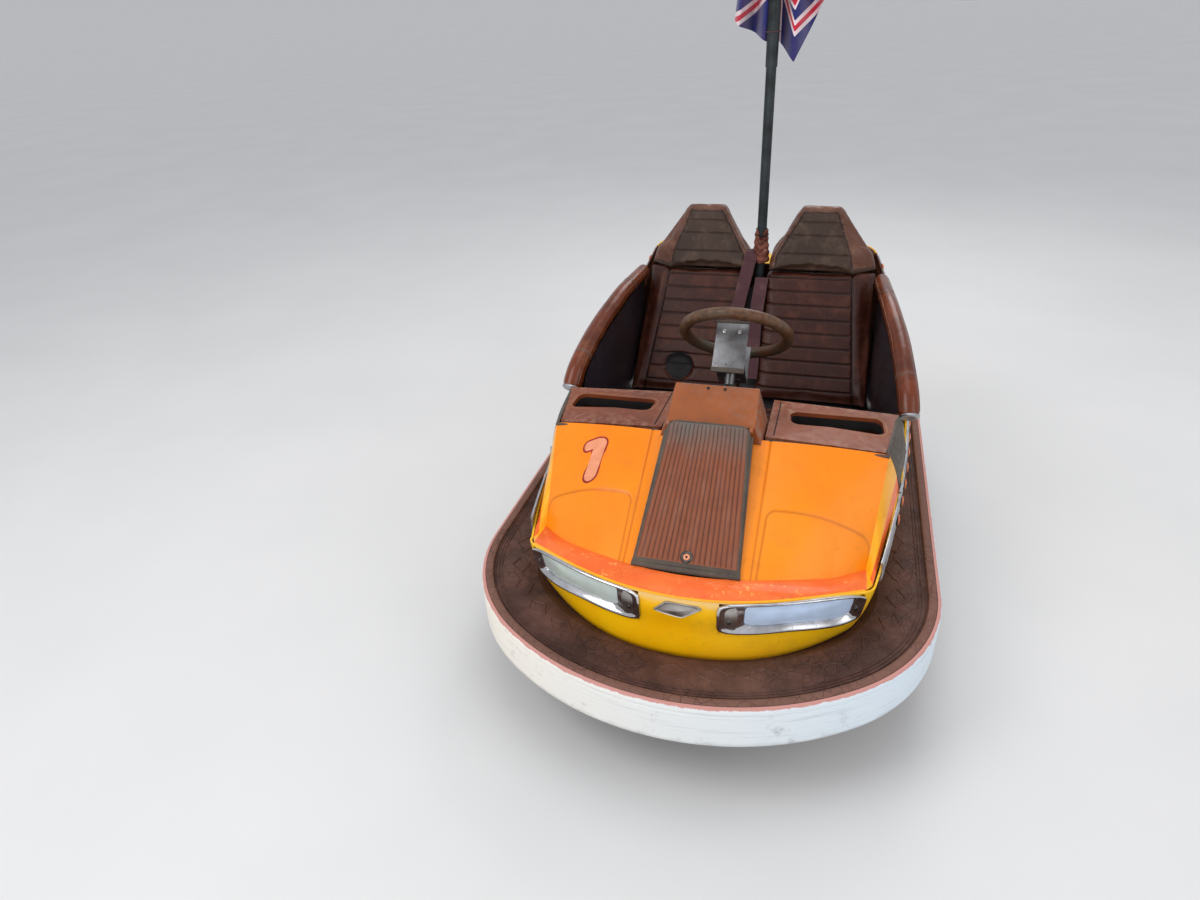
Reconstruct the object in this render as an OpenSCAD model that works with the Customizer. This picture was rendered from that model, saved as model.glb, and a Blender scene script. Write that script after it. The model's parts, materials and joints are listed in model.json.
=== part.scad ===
// Fairground bumper car for two: rubber bumper ring, hollow moulded body, centre steering
// and a current pole behind the seats. Front faces -Y, floor at z = 0, millimetres.

/* [Bumper ring] */
// Width over the bumper
car_w = 1200; // [1160:10:1240]
// Length over the bumper
car_l = 1950; // [1900:10:2020]
// Height of the bumper's top edge above the floor
bumper_top = 300; // [290:1:310]
// Height of the bumper's outer wall
bumper_h = 118; // [100:1:125]
// Width of the rubber from the outer wall to its inner lip
bumper_deck = 205; // [190:1:215]
// Thickness of the white side wall
band_t = 10; // [6:1:14]
// Width of the hollow outer tube of the rubber
tube_w = 88; // [70:1:100]
// Wall of the rubber
rubber_t = 14; // [10:1:18]
// Radius of the bumper's front corners
bumper_corner_r = 450; // [400:10:480]
// Radius of the bumper's rear corners
bumper_rear_r = 320; // [280:10:360]

/* [Body shell] */
// Wall of the moulded body
wall = 6; // [4:0.5:8]
// Distance from the bumper's side to the body's belt
side_setback = 76; // [64:1:100]
// Radius of the nose seen from above
nose_r = 600; // [560:10:640]
// Distance from the bumper's front to the body's nose
nose_setback = 180; // [170:1:200]
// Height of the nose border at its middle
nose_z = 448; // [440:1:456]
// Height of the body's ledge beside the seats
ledge_z = 488; // [478:1:496]
// Height of the tail's top
tail_z = 806; // [780:1:830]
// Gap between panels and between fixed pieces
seam = 0.5; // [0.3:0.1:1]

/* [Hood, hatch and dash] */
// Height of the hood's rear edge beside the console
hood_rear_z = 632; // [620:1:645]
// Half width of the hatch at its front
hatch_front_x = 127; // [120:1:134]
// Half width of the hatch at its rear
hatch_rear_x = 112; // [106:1:118]
// Thickness of the hatch cover
hatch_t = 12; // [8:1:16]
// Number of ribs along the hatch
hatch_ribs = 19; // [11:2:25]
// Height of the console's rear edge
console_z = 731; // [720:1:740]
// Length of each hand slot across the car
slot_l = 240; // [200:5:250]
// Width of each hand slot along the car
slot_w = 80; // [60:1:90]

/* [Steering] */
// Radius of the steering wheel's rim at its tube's centre
ring_r = 150; // [140:1:165]
// Radius of the rim's tube
ring_tube_r = 14; // [11:0.5:17]
// Lean of the steering axis from the vertical
steer_lean = 44; // [38:1:50]
// Distance from the rim down to the bracket's cross plate
bracket_drop = 118; // [100:1:130]
// Width of the bracket's arms
bracket_w = 84; // [70:1:90]
// Radius of the steering shaft
shaft_r = 14; // [12:0.5:18]

/* [Wheels] */
// Radius of the driven front wheel
drive_r = 130; // [120:1:140]
// Width of the driven front wheel
drive_w = 76; // [60:1:84]
// Distance of the drive unit's axis behind the bumper's front
drive_setback = 412; // [400:1:430]
// Radius of the rear wheels
rear_r = 100; // [90:1:110]
// Width of the rear wheels
rear_w = 50; // [40:1:60]
// Track of the rear wheels
track = 760; // [720:10:780]
// Radius of the axles
axle_r = 12; // [10:0.5:15]
// Radial clearance of a running fit
running = 0.05; // [0.02:0.01:0.08]

/* [Seats and pole] */
// Height of the floor's top
floor_z = 92; // [85:1:100]
// Height of the seat cushion's front edge
seat_z = 405; // [380:1:420]
// Lean of the seat backs from the vertical
back_lean = 37; // [34:1:40]
// Height of the seam between seat backs and headrests
seam_z = 742; // [735:1:750]
// Height of the headrests' top
headrest_z = 968; // [940:1:990]
// Radius of the lower current pole
pole_r = 16.5; // [14:0.5:20]
// Radius of the pole's upper sleeve
sleeve_r = 19; // [17:0.5:23]
// Height of the collector's contact face
pole_top = 2700; // [2500:10:2900]

/* [Hidden] */
front_y = -car_l / 2;
rear_y = car_l / 2;
deck_z = bumper_top - 5;
wheel_c = [0, 60, 732];
drive_y = front_y + drive_setback;
axle_y = 520;
pole_y = 690;
mast_z = 770;

// Plan outlines are chains of tangent arcs. An angle a points from -Y round to +X.
function dir(a) = [sin(a), -cos(a)];
function next_centre(c, r, r2, a) = c + (r - r2) * dir(a);
function mix(a, b, t) = a + (b - a) * t;

// The bumper's outline: nose arc, corner arcs, straight sides, rear corner arcs, back arc. They
// meet at two fixed directions, so the nose and back radii follow from the corners
bumper_u1 = [0.6, -0.8];
bumper_u2 = [0.28, 0.96];
bumper_nose_r = bumper_corner_r + (car_w / 2 - bumper_corner_r) / bumper_u1.x;
bumper_back_r = bumper_rear_r + (car_w / 2 - bumper_rear_r) / bumper_u2.x;
bumper_c1 = [0, front_y + bumper_nose_r];
bumper_c2 = bumper_c1 + (bumper_nose_r - bumper_corner_r) * bumper_u1;
bumper_c4 = [0, rear_y - bumper_back_r];
bumper_c3 = bumper_c4 + (bumper_back_r - bumper_rear_r) * bumper_u2;
// The body's outline at its belt
body_w = car_w - 2 * side_setback;
nose_y = front_y + nose_setback;
nose_a = 42;
corner_r = 70;
corner_a = 78.5;
side_r = 5000;
side_a = 93.7;
tail_r = 150;
tail_a = 172;
body_c1 = [0, nose_y + nose_r];
body_c2 = next_centre(body_c1, nose_r, corner_r, nose_a);
body_c3 = [body_w / 2 - side_r, next_centre(body_c2, corner_r, side_r, corner_a).y];
body_c4 = next_centre(body_c3, side_r, tail_r, side_a);
back_r = tail_r + body_c4.x / sin(tail_a);
body_c5 = next_centre(body_c4, tail_r, back_r, tail_a);

// Point of the body's outline whose normal has the angle a, moved outward by o
function body_half(a, o) = a <= nose_a ? body_c1 + (nose_r + o) * dir(a)
    : a <= corner_a ? body_c2 + (corner_r + o) * dir(a)
    : a <= side_a ? body_c3 + (side_r + o) * dir(a)
    : a <= tail_a ? body_c4 + (tail_r + o) * dir(a)
    : body_c5 + (back_r + o) * dir(a);
function body_pt(a, o) = let (p = body_half(abs(a), o)) [a < 0 ? -p.x : p.x, p.y];

// Sweeps a section, drawn as [distance outward, height], round an arc of the nose
module sweep(arc, a0, a1) {
    translate([arc[0].x, arc[0].y, 0])
        rotate([0, 0, a0 - 90])
            rotate_extrude(angle = a1 - a0, $fn = 120)
                translate([arc[1], 0])
                    children();
}

// Sweeps a section round a centre, cut off at the directions u and v
module turn(c, r, u, v) {
    intersection() {
        translate([c.x, c.y, 0]) rotate_extrude($fn = 144) translate([r, 0]) children();
        translate([0, 0, 100]) linear_extrude(300)
            polygon([c, c + 2000 * u, c + 2000 * (u + v), c + 2000 * v]);
    }
}

// Sweeps a section round the whole bumper
module bumper_sweep() {
    turn(bumper_c1, bumper_nose_r, [-bumper_u1.x, bumper_u1.y], bumper_u1) children();
    turn(bumper_c4, bumper_back_r, bumper_u2, [-bumper_u2.x, bumper_u2.y]) children();
    for (side = [0, 1]) mirror([side, 0, 0]) {
        turn(bumper_c2, bumper_corner_r, bumper_u1, [1, 0]) children();
        turn(bumper_c3, bumper_rear_r, [1, 0], bumper_u2) children();
        translate([car_w / 2, bumper_c3.y, 0])
            rotate([90, 0, 0])
                linear_extrude(bumper_c3.y - bumper_c2.y)
                    children();
    }
}
bumper_low = bumper_top - bumper_h;
// Top of the rubber deck from the outer rim to the inner lip
DECK = [[-band_t, bumper_top], [-22, bumper_top + 3], [-32, bumper_top + 3], [-36, deck_z],
    [-60, deck_z], [-150, deck_z - 8], [-186, deck_z - 34], [-bumper_deck, deck_z - 46]];

module tyre_section() {
    inner = -band_t - tube_w;
    difference() {
        polygon(concat(DECK, [[-bumper_deck, deck_z - 46 - rubber_t], [-186, deck_z - 34 - rubber_t],
            [-150, deck_z - 8 - rubber_t], [inner, deck_z - 4 - rubber_t],
            [inner, bumper_low + 12], [inner + 12, bumper_low], [-band_t, bumper_low]]));
        polygon([[-band_t - rubber_t, bumper_low + rubber_t], [-band_t - rubber_t, deck_z - rubber_t],
            [inner + rubber_t, deck_z - 4 - rubber_t], [inner + rubber_t, bumper_low + rubber_t]]);
    }
}

module bumper_tyre() {
    color([0.42, 0.27, 0.24]) bumper_sweep() tyre_section();
}

module bumper_band() {
    color([0.9, 0.93, 0.95]) bumper_sweep()
        polygon([[-band_t, bumper_low], [-6, bumper_low], [0, bumper_low + 8],
            [0, bumper_top - 8], [-6, bumper_top], [-band_t, bumper_top]]);
}

// Height of the rubber's top under a point of the plan
function inset(p) = let (x = abs(p.x))
    p.y < bumper_c2.y
        ? (-bumper_u1.y * x < bumper_u1.x * (bumper_c1.y - p.y) ? bumper_nose_r - norm([x, p.y] - bumper_c1)
            : bumper_corner_r - norm([x, p.y] - bumper_c2))
        : p.y < bumper_c3.y ? car_w / 2 - x
            : bumper_u2.y * x < bumper_u2.x * (p.y - bumper_c4.y) ? bumper_back_r - norm([x, p.y] - bumper_c4)
                : bumper_rear_r - norm([x, p.y] - bumper_c3);
function deck_at(p) = inset(p) > bumper_deck ? 0 : lookup(-inset(p), DECK);
// Hoop of flat bar that carries the rubber, inside its tube
module hoop_section() {
    inner = -band_t - tube_w - 0.3;
    translate([inner - 5, bumper_low + 14]) square([5, 72]);
}

// Area inside the hoop, out to the middle of its bar
function hoop_pt(a, first) = let (d = band_t + tube_w + 2.8) a < asin(bumper_u1.x)
    ? bumper_c1 + (bumper_nose_r - d) * dir(a)
    : first ? bumper_c2 + (bumper_corner_r - d) * dir(a)
        : a < 180 - asin(bumper_u2.x) ? bumper_c3 + (bumper_rear_r - d) * dir(a)
            : bumper_c4 + (bumper_back_r - d) * dir(a);
module hoop_fill() {
    for (side = [0, 1]) mirror([side, 0, 0])
        polygon(concat([[0, 0]], [for (a = [0:5:90]) hoop_pt(a, true)],
            [for (a = [90:5:180]) hoop_pt(a, false)]));
}

// Sheet between two grids of points with the same rows and columns
function quads(rows, cols, base, flip) = [for (i = [0:rows - 2]) for (j = [0:cols - 2])
    let (a = base + i * cols + j, b = a + 1, c = a + cols, d = c + 1)
    each (flip ? [[a, b, d], [a, d, c]] : [[a, d, b], [a, c, d]])];
function rim_faces(rows, cols) = let (n = rows * cols) concat(
    [for (j = [0:cols - 2]) each [[j, j + 1, n + j + 1], [j, n + j + 1, n + j]]],
    [for (j = [0:cols - 2]) let (a = (rows - 1) * cols + j)
        each [[a, n + a + 1, a + 1], [a, n + a, n + a + 1]]],
    [for (i = [0:rows - 2]) let (a = i * cols, c = a + cols)
        each [[a, n + a, n + c], [a, n + c, c]]],
    [for (i = [0:rows - 2]) let (a = i * cols + cols - 1, c = a + cols)
        each [[a, n + c, n + a], [a, c, n + c]]]);
module grid_sheet(top, bottom) {
    rows = len(top);
    cols = len(top[0]);
    polyhedron(points = concat([for (r = top) each r], [for (r = bottom) each r]),
        faces = concat(quads(rows, cols, 0, false), quads(rows, cols, rows * cols, true),
            rim_faces(rows, cols)));
}

// Nose and belt

border_slope = 0.228;
function border_z(y) = nose_z - border_slope * (y - nose_y);
corner_end = body_c2 + corner_r * dir(corner_a);
corner_z = border_z(corner_end.y);

// Offset of the lower body from its outline at a height: foot, tuck, belt
LOWER = [[240, -40], [256, -36], [285, -24], [330, -8], [375, 3], [410, 8], [447, 3]];
belt_z = 447;
function foot_z(a) = max(257, deck_at(body_pt(a, -22)) + 1);

// Angles of the stations round the nose
NOSE = concat([for (a = [-corner_a:9.125:-nose_a - 1]) a], [for (a = [-nose_a:3.5:nose_a]) a],
    [for (a = [nose_a + 9.125:9.125:corner_a + 0.01]) min(a, corner_a)]);
function nose_pt(a, t, d) = let (low = foot_z(a), high = border_z(body_pt(a, 0).y) - wall - seam,
    z = mix(low, high, t), p = body_pt(a, lookup(min(z, belt_z), LOWER) - d)) [p.x, p.y, z];
module nose_shell() {
    steps = [0, 0.17, 0.34, 0.5, 0.66, 0.82, 1];
    color([0.98, 0.74, 0.05]) difference() {
        grid_sheet([for (t = steps) [for (a = NOSE) nose_pt(a, t, 0)]],
            [for (t = steps) [for (a = NOSE) nose_pt(a, t, wall)]]);
        for (side = [0, 1]) mirror([side, 0, 0]) lamp_box();
    }
}
// Head lamps follow the nose between two angles of its arc and taper outward
lamp_a0 = 9.4;
lamp_a1 = 41;
lamp_low = 318;
lamp_rise = 0.36;
lamp_high = 432;
lamp_cover = 12;
lamp_set = seam / 10;
lamp_in = -30;
// Space of the lamps between their sloping sill and the hood's border, each moved in by g
module lamp_wedge(g) {
    y0 = nose_y - 60;
    y1 = nose_y + 240;
    low = lamp_low - lamp_rise * 60;
    translate([-body_w / 2, 0, 0]) rotate([90, 0, 90]) linear_extrude(body_w)
        polygon([[y0, low + g], [y1, low + lamp_rise * 300 + g],
            [y1, border_z(y1) - lamp_cover - g], [y0, border_z(y0) - lamp_cover - g]]);
}
module lamp_box() {
    intersection() {
        lamp_wedge(-seam);
        linear_extrude(nose_z)
            polygon([body_c1 + 500 * dir(lamp_a0), body_c1 + 680 * dir(lamp_a0), body_c1 + 720 * dir(25),
                body_c1 + 680 * dir(lamp_a1), body_c1 + 500 * dir(lamp_a1)]);
    }
}
module lamp_arc(trim0, trim1) {
    sweep([body_c1, nose_r], lamp_a0 + trim0, lamp_a1 - trim1) children();
}
module lamp_frames() {
    low = lamp_low - 40;
    color([0.8, 0.8, 0.82]) for (side = [0, 1]) mirror([side, 0, 0]) difference() {
        intersection() {
            lamp_arc(lamp_set, lamp_set)
                polygon([[lamp_in, low], [14, low], [16, lamp_high - 8], [10, lamp_high],
                    [lamp_in, lamp_high]]);
            lamp_wedge(0);
        }
        intersection() {
            lamp_arc(4.6, 2)
                polygon([[lamp_in + 8, low], [30, low], [30, lamp_high], [lamp_in + 8, lamp_high]]);
            lamp_wedge(11);
        }
    }
}

module lamp_lenses() {
    color([0.85, 0.9, 0.95]) for (side = [0, 1]) mirror([side, 0, 0]) intersection() {
        lamp_arc(4.7, 2.1) translate([lamp_in + 8 + seam, lamp_low]) square([22, lamp_high - lamp_low]);
        lamp_wedge(11 + seam);
    }
}

module badge_plate() {
    color([0.75, 0.75, 0.78]) intersection() {
        sweep([body_c1, nose_r], -4.4, 4.4) polygon([[8.3, 380], [11.3, 380], [11.3, 425], [8.3, 425]]);
        translate([0, nose_y + 40, 403]) rotate([90, 0, 0]) linear_extrude(80)
            polygon([[-39, 2], [-22, 12], [22, 12], [39, 2], [10, -14], [-10, -14]]);
    }
}

// Hood

hood_rear_y = -373;
hood_outer = [442, -318, 594];
facet_foot = [484, -262, 458];
// Columns of the hood: [front x, rear x, rear y, rear z]
HOOD = concat([[0, 0, hood_rear_y, hood_rear_z]], [for (p = [0, 0.36, 0.68, 1])
    [157 + p * 252, 157 + p * (hood_outer.x - 157), hood_rear_y + p * (hood_outer.y - hood_rear_y),
    hood_rear_z + p * (hood_outer.z - hood_rear_z) + 14 * p * (1 - p)]]);
function nose_point(x, inset) = [x, body_c1.y - sqrt(pow(nose_r - inset, 2) - x * x)];
function hood_front(x) = let (p = nose_point(x, 0)) [p.x, p.y, border_z(p.y)];
function hood_line(x) = let (p = nose_point(x * 0.985, 66)) [p.x, p.y, border_z(p.y) + 12];
hood_cols = concat([for (i = [len(HOOD) - 1:-1:1]) [-HOOD[i][0], -HOOD[i][1], HOOD[i][2], HOOD[i][3]]], HOOD);
function hood_row(t, drop) = [for (c = hood_cols) let (a = hood_line(c[0]), b = [c[1], c[2], c[3]],
    p = mix(a, b, t)) [p.x, p.y, p.z - drop]];
function facet_col(t, side, drop) = let (a = [corner_end.x, corner_end.y, corner_z],
    p = mix(a, facet_foot, t)) [side * (p.x - drop * 0.8), p.y, p.z - (t == 0 ? drop : 0)];
hood_steps = [0, 0.25, 0.5, 0.75, 1];
module hood_shell() {
    top = concat([concat([[-corner_end.x + 8, corner_end.y - 4, corner_z]],
            [for (c = hood_cols) hood_front(c[0])], [[corner_end.x - 8, corner_end.y - 4, corner_z]])],
        [for (t = hood_steps) concat([facet_col(t, -1, 0)], hood_row(t, 0), [facet_col(t, 1, 0)])]);
    low = [for (r = top) [for (p = r) [p.x * (1 - 2 * wall / body_w), p.y, p.z - wall]]];
    in_front = hatch_front_x - 12;
    in_rear = hatch_rear_x - 12;
    in_console = console_x + 2;
    color([1, 0.56, 0.12]) difference() {
        grid_sheet(top, low);
        translate([0, 0, border_z(0)]) linear_extrude(console_z)
            polygon([[-in_front, hatch_y0 + 16], [in_front, hatch_y0 + 16], [in_rear, hatch_y1 + 2],
                [in_console, hatch_y1 + 2], [in_console, hood_rear_y + 80], [-in_console, hood_rear_y + 80],
                [-in_console, hatch_y1 + 2], [-in_rear, hatch_y1 + 2]]);
        hatch_place() translate([0, 0, hatch_low - 0.3]) linear_extrude(60)
            polygon([[-hatch_rear_x - 2, 0], [hatch_rear_x + 2, 0],
                [hatch_front_x + 2, hatch_l + 2], [-hatch_front_x - 2, hatch_l + 2]]);
    }
}

// Hatch cover: ribbed plate lying on the hood, hinged at its rear edge
hatch_y0 = -722;
hatch_y1 = -404;
hatch_rise = 209;
hatch_tilt = atan(hatch_rise / (hatch_y1 - hatch_y0));
hatch_hinge = [0, hatch_y1, 672];
hatch_l = (hatch_y1 - hatch_y0) / cos(hatch_tilt);
module hatch_place() {
    translate(hatch_hinge) rotate([hatch_tilt, 0, 0]) mirror([0, 1, 0]) children();
}
// The hinge: a stub pin on an eye of the console at each rear corner, in a knuckle of the cover
hatch_top = -4;
hatch_low = hatch_top - hatch_t;
pin_r = 3;
knuckle_r = 7;
eye_x = hatch_rear_x - 11;
eye_l = 8;
hatch_gap = 5;
lock_r = 13;
skirt_h = 26;
lock_y = hatch_l - 34;
module hatch_cover() {
    rib = 2 * (hatch_rear_x - 22) / hatch_ribs;
    notch = eye_x - hatch_gap;
    color([0.48, 0.27, 0.2]) hatch_place() difference() {
        union() {
            translate([0, 0, hatch_low]) linear_extrude(hatch_t)
                polygon([[-notch, 0], [notch, 0], [notch, knuckle_r + hatch_gap + 2],
                    [hatch_rear_x, knuckle_r + hatch_gap + 2], [hatch_front_x, hatch_l],
                    [-hatch_front_x, hatch_l], [-hatch_rear_x, knuckle_r + hatch_gap + 2],
                    [-notch, knuckle_r + hatch_gap + 2]]);
            for (i = [0:hatch_ribs - 1]) translate([-hatch_rear_x + 22 + (i + 0.25) * rib, 16, hatch_top - 1])
                cube([rib / 2, hatch_l - 38, 4]);
            for (side = [-1, 1]) translate([side * (notch - 13) - 13, 0, 0]) rotate([0, 90, 0])
                cylinder(r = knuckle_r, h = 26, $fn = 48);
            for (side = [-1, 1]) translate([side * (hatch_rear_x - 4) - 2, 0, 0]) rotate([90, 0, 90])
                linear_extrude(4)
                    polygon([[26, hatch_low + 1], [26, hatch_low - skirt_h], [hatch_l - 70, hatch_low + 1]]);
        }
        for (side = [-1, 1]) translate([side * (notch - 13) - 14, 0, 0]) rotate([0, 90, 0])
            cylinder(r = pin_r + running, h = 28, $fn = 48);
        translate([0, lock_y, hatch_top]) cylinder(r = lock_r + 2, h = 20, $fn = 48);
    }
}
module hatch_lock() {
    color([0.6, 0.55, 0.5]) hatch_place() translate([0, lock_y, hatch_top + 0.3])
        cylinder(r = lock_r, h = 6, $fn = 48);
}

// Console over the steering column, with the fixed eyes and pins of the hatch's hinge
console_x = 132;
console_y0 = hatch_y1 + 17;
console_y1 = -282;
module console() {
    top_x = hatch_rear_x - 3;
    color([0.54, 0.31, 0.22]) {
        difference() {
            hull() {
                translate([-hatch_rear_x, console_y0, 640]) cube([2 * hatch_rear_x, 2, 32]);
                translate([-top_x, console_y1 - 2, 640]) cube([2 * top_x, 2, console_z - 640]);
                translate([-console_x, console_y0, 560]) cube([2 * console_x, 147, 60]);
            }
            hull() {
                translate([wall - hatch_rear_x, console_y0 + wall, 560])
                    cube([2 * (hatch_rear_x - wall), 2, 106]);
                translate([wall - top_x, console_y1 - 8, 560]) cube([2 * (top_x - wall), 2, console_z - 566]);
                translate([wall - console_x, console_y0 + wall, 550]) cube([2 * (console_x - wall), 135, 64]);
            }
            translate([-60, console_y1 - 30, 550]) cube([120, 90, 110]);
        }
        for (side = [0, 1]) mirror([side, 0, 0]) translate([eye_x, hatch_hinge.y, hatch_hinge.z]) {
            rotate([0, 90, 0]) cylinder(r = knuckle_r, h = eye_l, $fn = 48);
            rotate([0, -90, 0]) cylinder(r = pin_r, h = 24, $fn = 48);
            translate([0, 0, -knuckle_r]) cube([eye_l, console_y0 - hatch_hinge.y + 1, knuckle_r]);
        }
    }
}

// Dash mouldings left and right of the console, each with a hand slot
dash_rear_y = -100;
dash_low = 500;
dash_in = 136;
slot_x = 212;
slot_y = -208;
slot_corner = 44;
module dash_pod() {
    color([0.54, 0.31, 0.22]) difference() {
        hull() {
            translate([dash_in, -350, 560]) cube([20, 2, 70]);
            translate([422, -308, 520]) cube([12, 2, 74]);
            translate([dash_in, dash_rear_y - 2, dash_low]) cube([20, 2, 112]);
            translate([452, dash_rear_y - 2, dash_low]) cube([18, 2, 98]);
        }
        hull() {
            translate([dash_in + 8, -340, 480]) cube([20, 2, 136]);
            translate([412, -298, 480]) cube([12, 2, 100]);
            translate([dash_in + 8, dash_rear_y - 12, dash_low - 20]) cube([20, 2, 122]);
            translate([440, dash_rear_y - 12, dash_low - 20]) cube([18, 2, 108]);
        }
        translate([slot_x, slot_y, dash_low - 50]) rotate([0, 0, 6]) hull()
            for (x = [0, slot_l - slot_corner], y = [-1, 1])
                translate([x, y * (slot_w - slot_corner) / 2, 0])
                    cylinder(d = slot_corner, h = 300, $fn = 32);
    }
}
module dash_left() { mirror([1, 0, 0]) dash_pod(); }
module dash_right() { dash_pod(); }

// Sides and tail

split_a = 92.43;
// Upper edge of the side wall at a station y: height and half width
SIDE_TOP = [[-603, corner_z - wall - seam], [-262, 449], [-225, 478], [-100, ledge_z - 3],
    [2, ledge_z - 4], [88, 577], [200, 627], [330, 671], [450, 697], [606, 705]];
SIDE_X = [[-603, 423], [-262, 484], [-225, 494], [-100, 500], [2, 508], [88, 506],
    [200, 490], [330, 468], [450, 448], [606, 433]];
fin_lean = 0.5;
function side_pt(a, t, d) = let (y = body_pt(a, 0).y, low = foot_z(a), high = lookup(y, SIDE_TOP),
    z = mix(low, high, t), base = body_pt(a, lookup(min(z, belt_z), LOWER) - d),
    k = z <= belt_z ? 0 : (z - belt_z) / (high - belt_z), w = max(0, (y - 436) / 170))
    [mix(base.x, lookup(y, SIDE_X) - d, k), base.y + w * fin_lean * max(0, z - 490), z];
module side_panel() {
    steps = [0, 0.12, 0.24, 0.36, 0.48, 0.6, 0.72, 0.86, 1];
    angles = [for (i = [0:14]) mix(corner_a + 0.006, split_a, i / 14)];
    color([0.98, 0.74, 0.05]) grid_sheet([for (t = steps) [for (a = angles) side_pt(a, t, 0)]],
        [for (t = steps) [for (a = angles) side_pt(a, t, wall)]]);
}
module side_left() { mirror([1, 0, 0]) side_panel(); }
module side_right() { side_panel(); }

// Tail: stations round the back, each with its point on the upper rim
TAIL = [
    [split_a + 0.006, 398, 764, tail_z - 14], [93.05, 392, 771, tail_z - 8],
    [side_a, 385, 778, tail_z - 3], [104, 368, 794, tail_z + 2], [115, 350, 810, tail_z],
    [127, 332, 822, tail_z - 6], [140, 312, 832, tail_z - 18], [151, 290, 838, tail_z - 32],
    [162, 262, 842, tail_z - 44], [tail_a, 225, 845, tail_z - 51], [174.7, 150, 848, tail_z - 55],
    [177.3, 75, 850, tail_z - 56], [180, 0, 850, tail_z - 56]];
tail_cols = concat([for (p = TAIL) p],
    [for (i = [len(TAIL) - 2:-1:0]) [-TAIL[i][0], -TAIL[i][1], TAIL[i][2], TAIL[i][3]]]);
function tail_low(c, t, d) = let (low = foot_z(c[0]), z = mix(low, belt_z, t),
    p = body_pt(c[0], lookup(z, LOWER) - d)) [p.x, p.y, z];
function tail_high(c, t, d) = let (b = body_pt(c[0], 3 - d),
    n = abs(c[0]) < side_a ? (c[0] < 0 ? -1 : 1) : 0,
    top = [c[1] - d * sign(c[1]) * 0.6, c[2] - d * 0.8, c[3]], p = mix([b.x, b.y, belt_z], top, t))
    [p.x + n * 14 * sin(180 * t), p.y, p.z];
function tail_shelf(c, d) = [c[1] * 0.93, 754, 742 - d];
module tail_shell() {
    steps = [0, 0.25, 0.5, 0.75];
    rises = [0, 0.2, 0.4, 0.6, 0.8, 1];
    color([0.98, 0.74, 0.05]) grid_sheet(
        concat([for (t = steps) [for (c = tail_cols) tail_low(c, t, 0)]],
            [for (t = rises) [for (c = tail_cols) tail_high(c, t, 0)]],
            [[for (c = tail_cols) tail_shelf(c, 0)]]),
        concat([for (t = steps) [for (c = tail_cols) tail_low(c, t, wall)]],
            [for (t = rises) [for (c = tail_cols) tail_high(c, t * 0.97, wall)]],
            [[for (c = tail_cols) tail_shelf(c, wall)]]));
}
// Cockpit

seat_y0 = 95;
back_foot = [0, 372, 372];
module back_place() {
    translate(back_foot) rotate([-back_lean, 0, 0]) children();
}
back_l = (seam_z - back_foot.z) / cos(back_lean);
back_t = 50;
seat_gap = 22;

// Each back is a ring of five corners from its foot up to the seam
function back_ring(z, edge, outer, wing) = let (y = back_foot.y + (z - back_foot.z) * tan(back_lean),
    rear = y + back_t / cos(back_lean))
    [[seat_gap, y, z], [edge, y, z], [outer, y + wing, z], [outer, rear, z], [seat_gap, rear, z]];
module seat_backs() {
    color([0.23, 0.13, 0.1]) difference() {
        for (side = [0, 1]) mirror([side, 0, 0])
            loft([back_ring(back_foot.z, 374, 414, -14), back_ring(seam_z, 330, 404, 52)]);
        translate([-246, 420, 456]) rotate([-back_lean - 90, 0, 0])
            cylinder(r = 50, h = 60, center = true, $fn = 48);
    }
}
// Each headrest is a ring of five corners from the seam up to its rounded top
function rest_ring(z, inner, edge, outer, front, rear) =
    [[inner, front, z], [edge, front - 1, z], [outer, (front + rear) / 2 + 6, z],
    [outer, rear, z], [inner, rear, z]];
module headrests() {
    z0 = seam_z + 0.3;
    h = headrest_z - z0;
    color([0.29, 0.22, 0.2]) for (side = [0, 1]) mirror([side, 0, 0])
        loft([rest_ring(z0, seat_gap + 6, 330, 404, 652, 744),
            rest_ring(z0 + 0.26 * h, seat_gap + 12, 318, 390, 668, 745),
            rest_ring(z0 + 0.93 * h, 122, 256, 280, 696, 744),
            rest_ring(headrest_z, 134, 246, 264, 704, 740)]);
}
module seat_base() {
    color([0.23, 0.13, 0.1]) hull() {
        translate([-376, seat_y0, 324.3]) cube([752, 20, seat_z - 324.3]);
        translate([-376, 330, 324.3]) cube([752, 10, 46]);
    }
}
module seat_shell() {
    color([0.3, 0.18, 0.14]) {
        difference() {
            union() {
                translate([-380, tray_y1 + 0.3, 230]) cube([760, 395, 94]);
                back_place() translate([-396, back_t + 0.3, -40]) cube([792, wall, back_l]);
            }
            translate([-380 + wall, tray_y1 + 0.3 + wall, 220]) cube([760 - 2 * wall, 420, 98]);
            translate([0, pole_y, 400]) cylinder(r = pole_r + 6, h = 500, $fn = 48);
        }
    }
}

// Lining of the cockpit from the floor tray's flange up to the sills and rolls: [y, top x, top z]
LINING = [[-100, 472, 484], [10, 472, 484], [60, 476, 552], [140, 466, 606], [230, 454, 640],
    [330, 436, 672], [440, 421, 696], [640, 419, 708]];
module inner_panels() {
    steps = [0, 0.33, 0.67, 1];
    color([0.25, 0.14, 0.1]) for (side = [0, 1]) mirror([side, 0, 0]) grid_sheet(
        [for (t = steps) [for (p = LINING) [mix(418, p[1], t), p[0], mix(303.6, p[2], t)]]],
        [for (t = steps) [for (p = LINING) [mix(418, p[1], t) - 4, p[0], mix(303.6, p[2], t)]]]);
}
roll_r = 30;
// Padded rolls along the cockpit's edge, from the sills up to the headrests
ROLL = [[508, 6, 545], [500, 52, 592], [486, 140, 640], [474, 230, 672], [456, 330, 703],
    [438, 440, 727], [416, 640, 738]];
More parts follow.
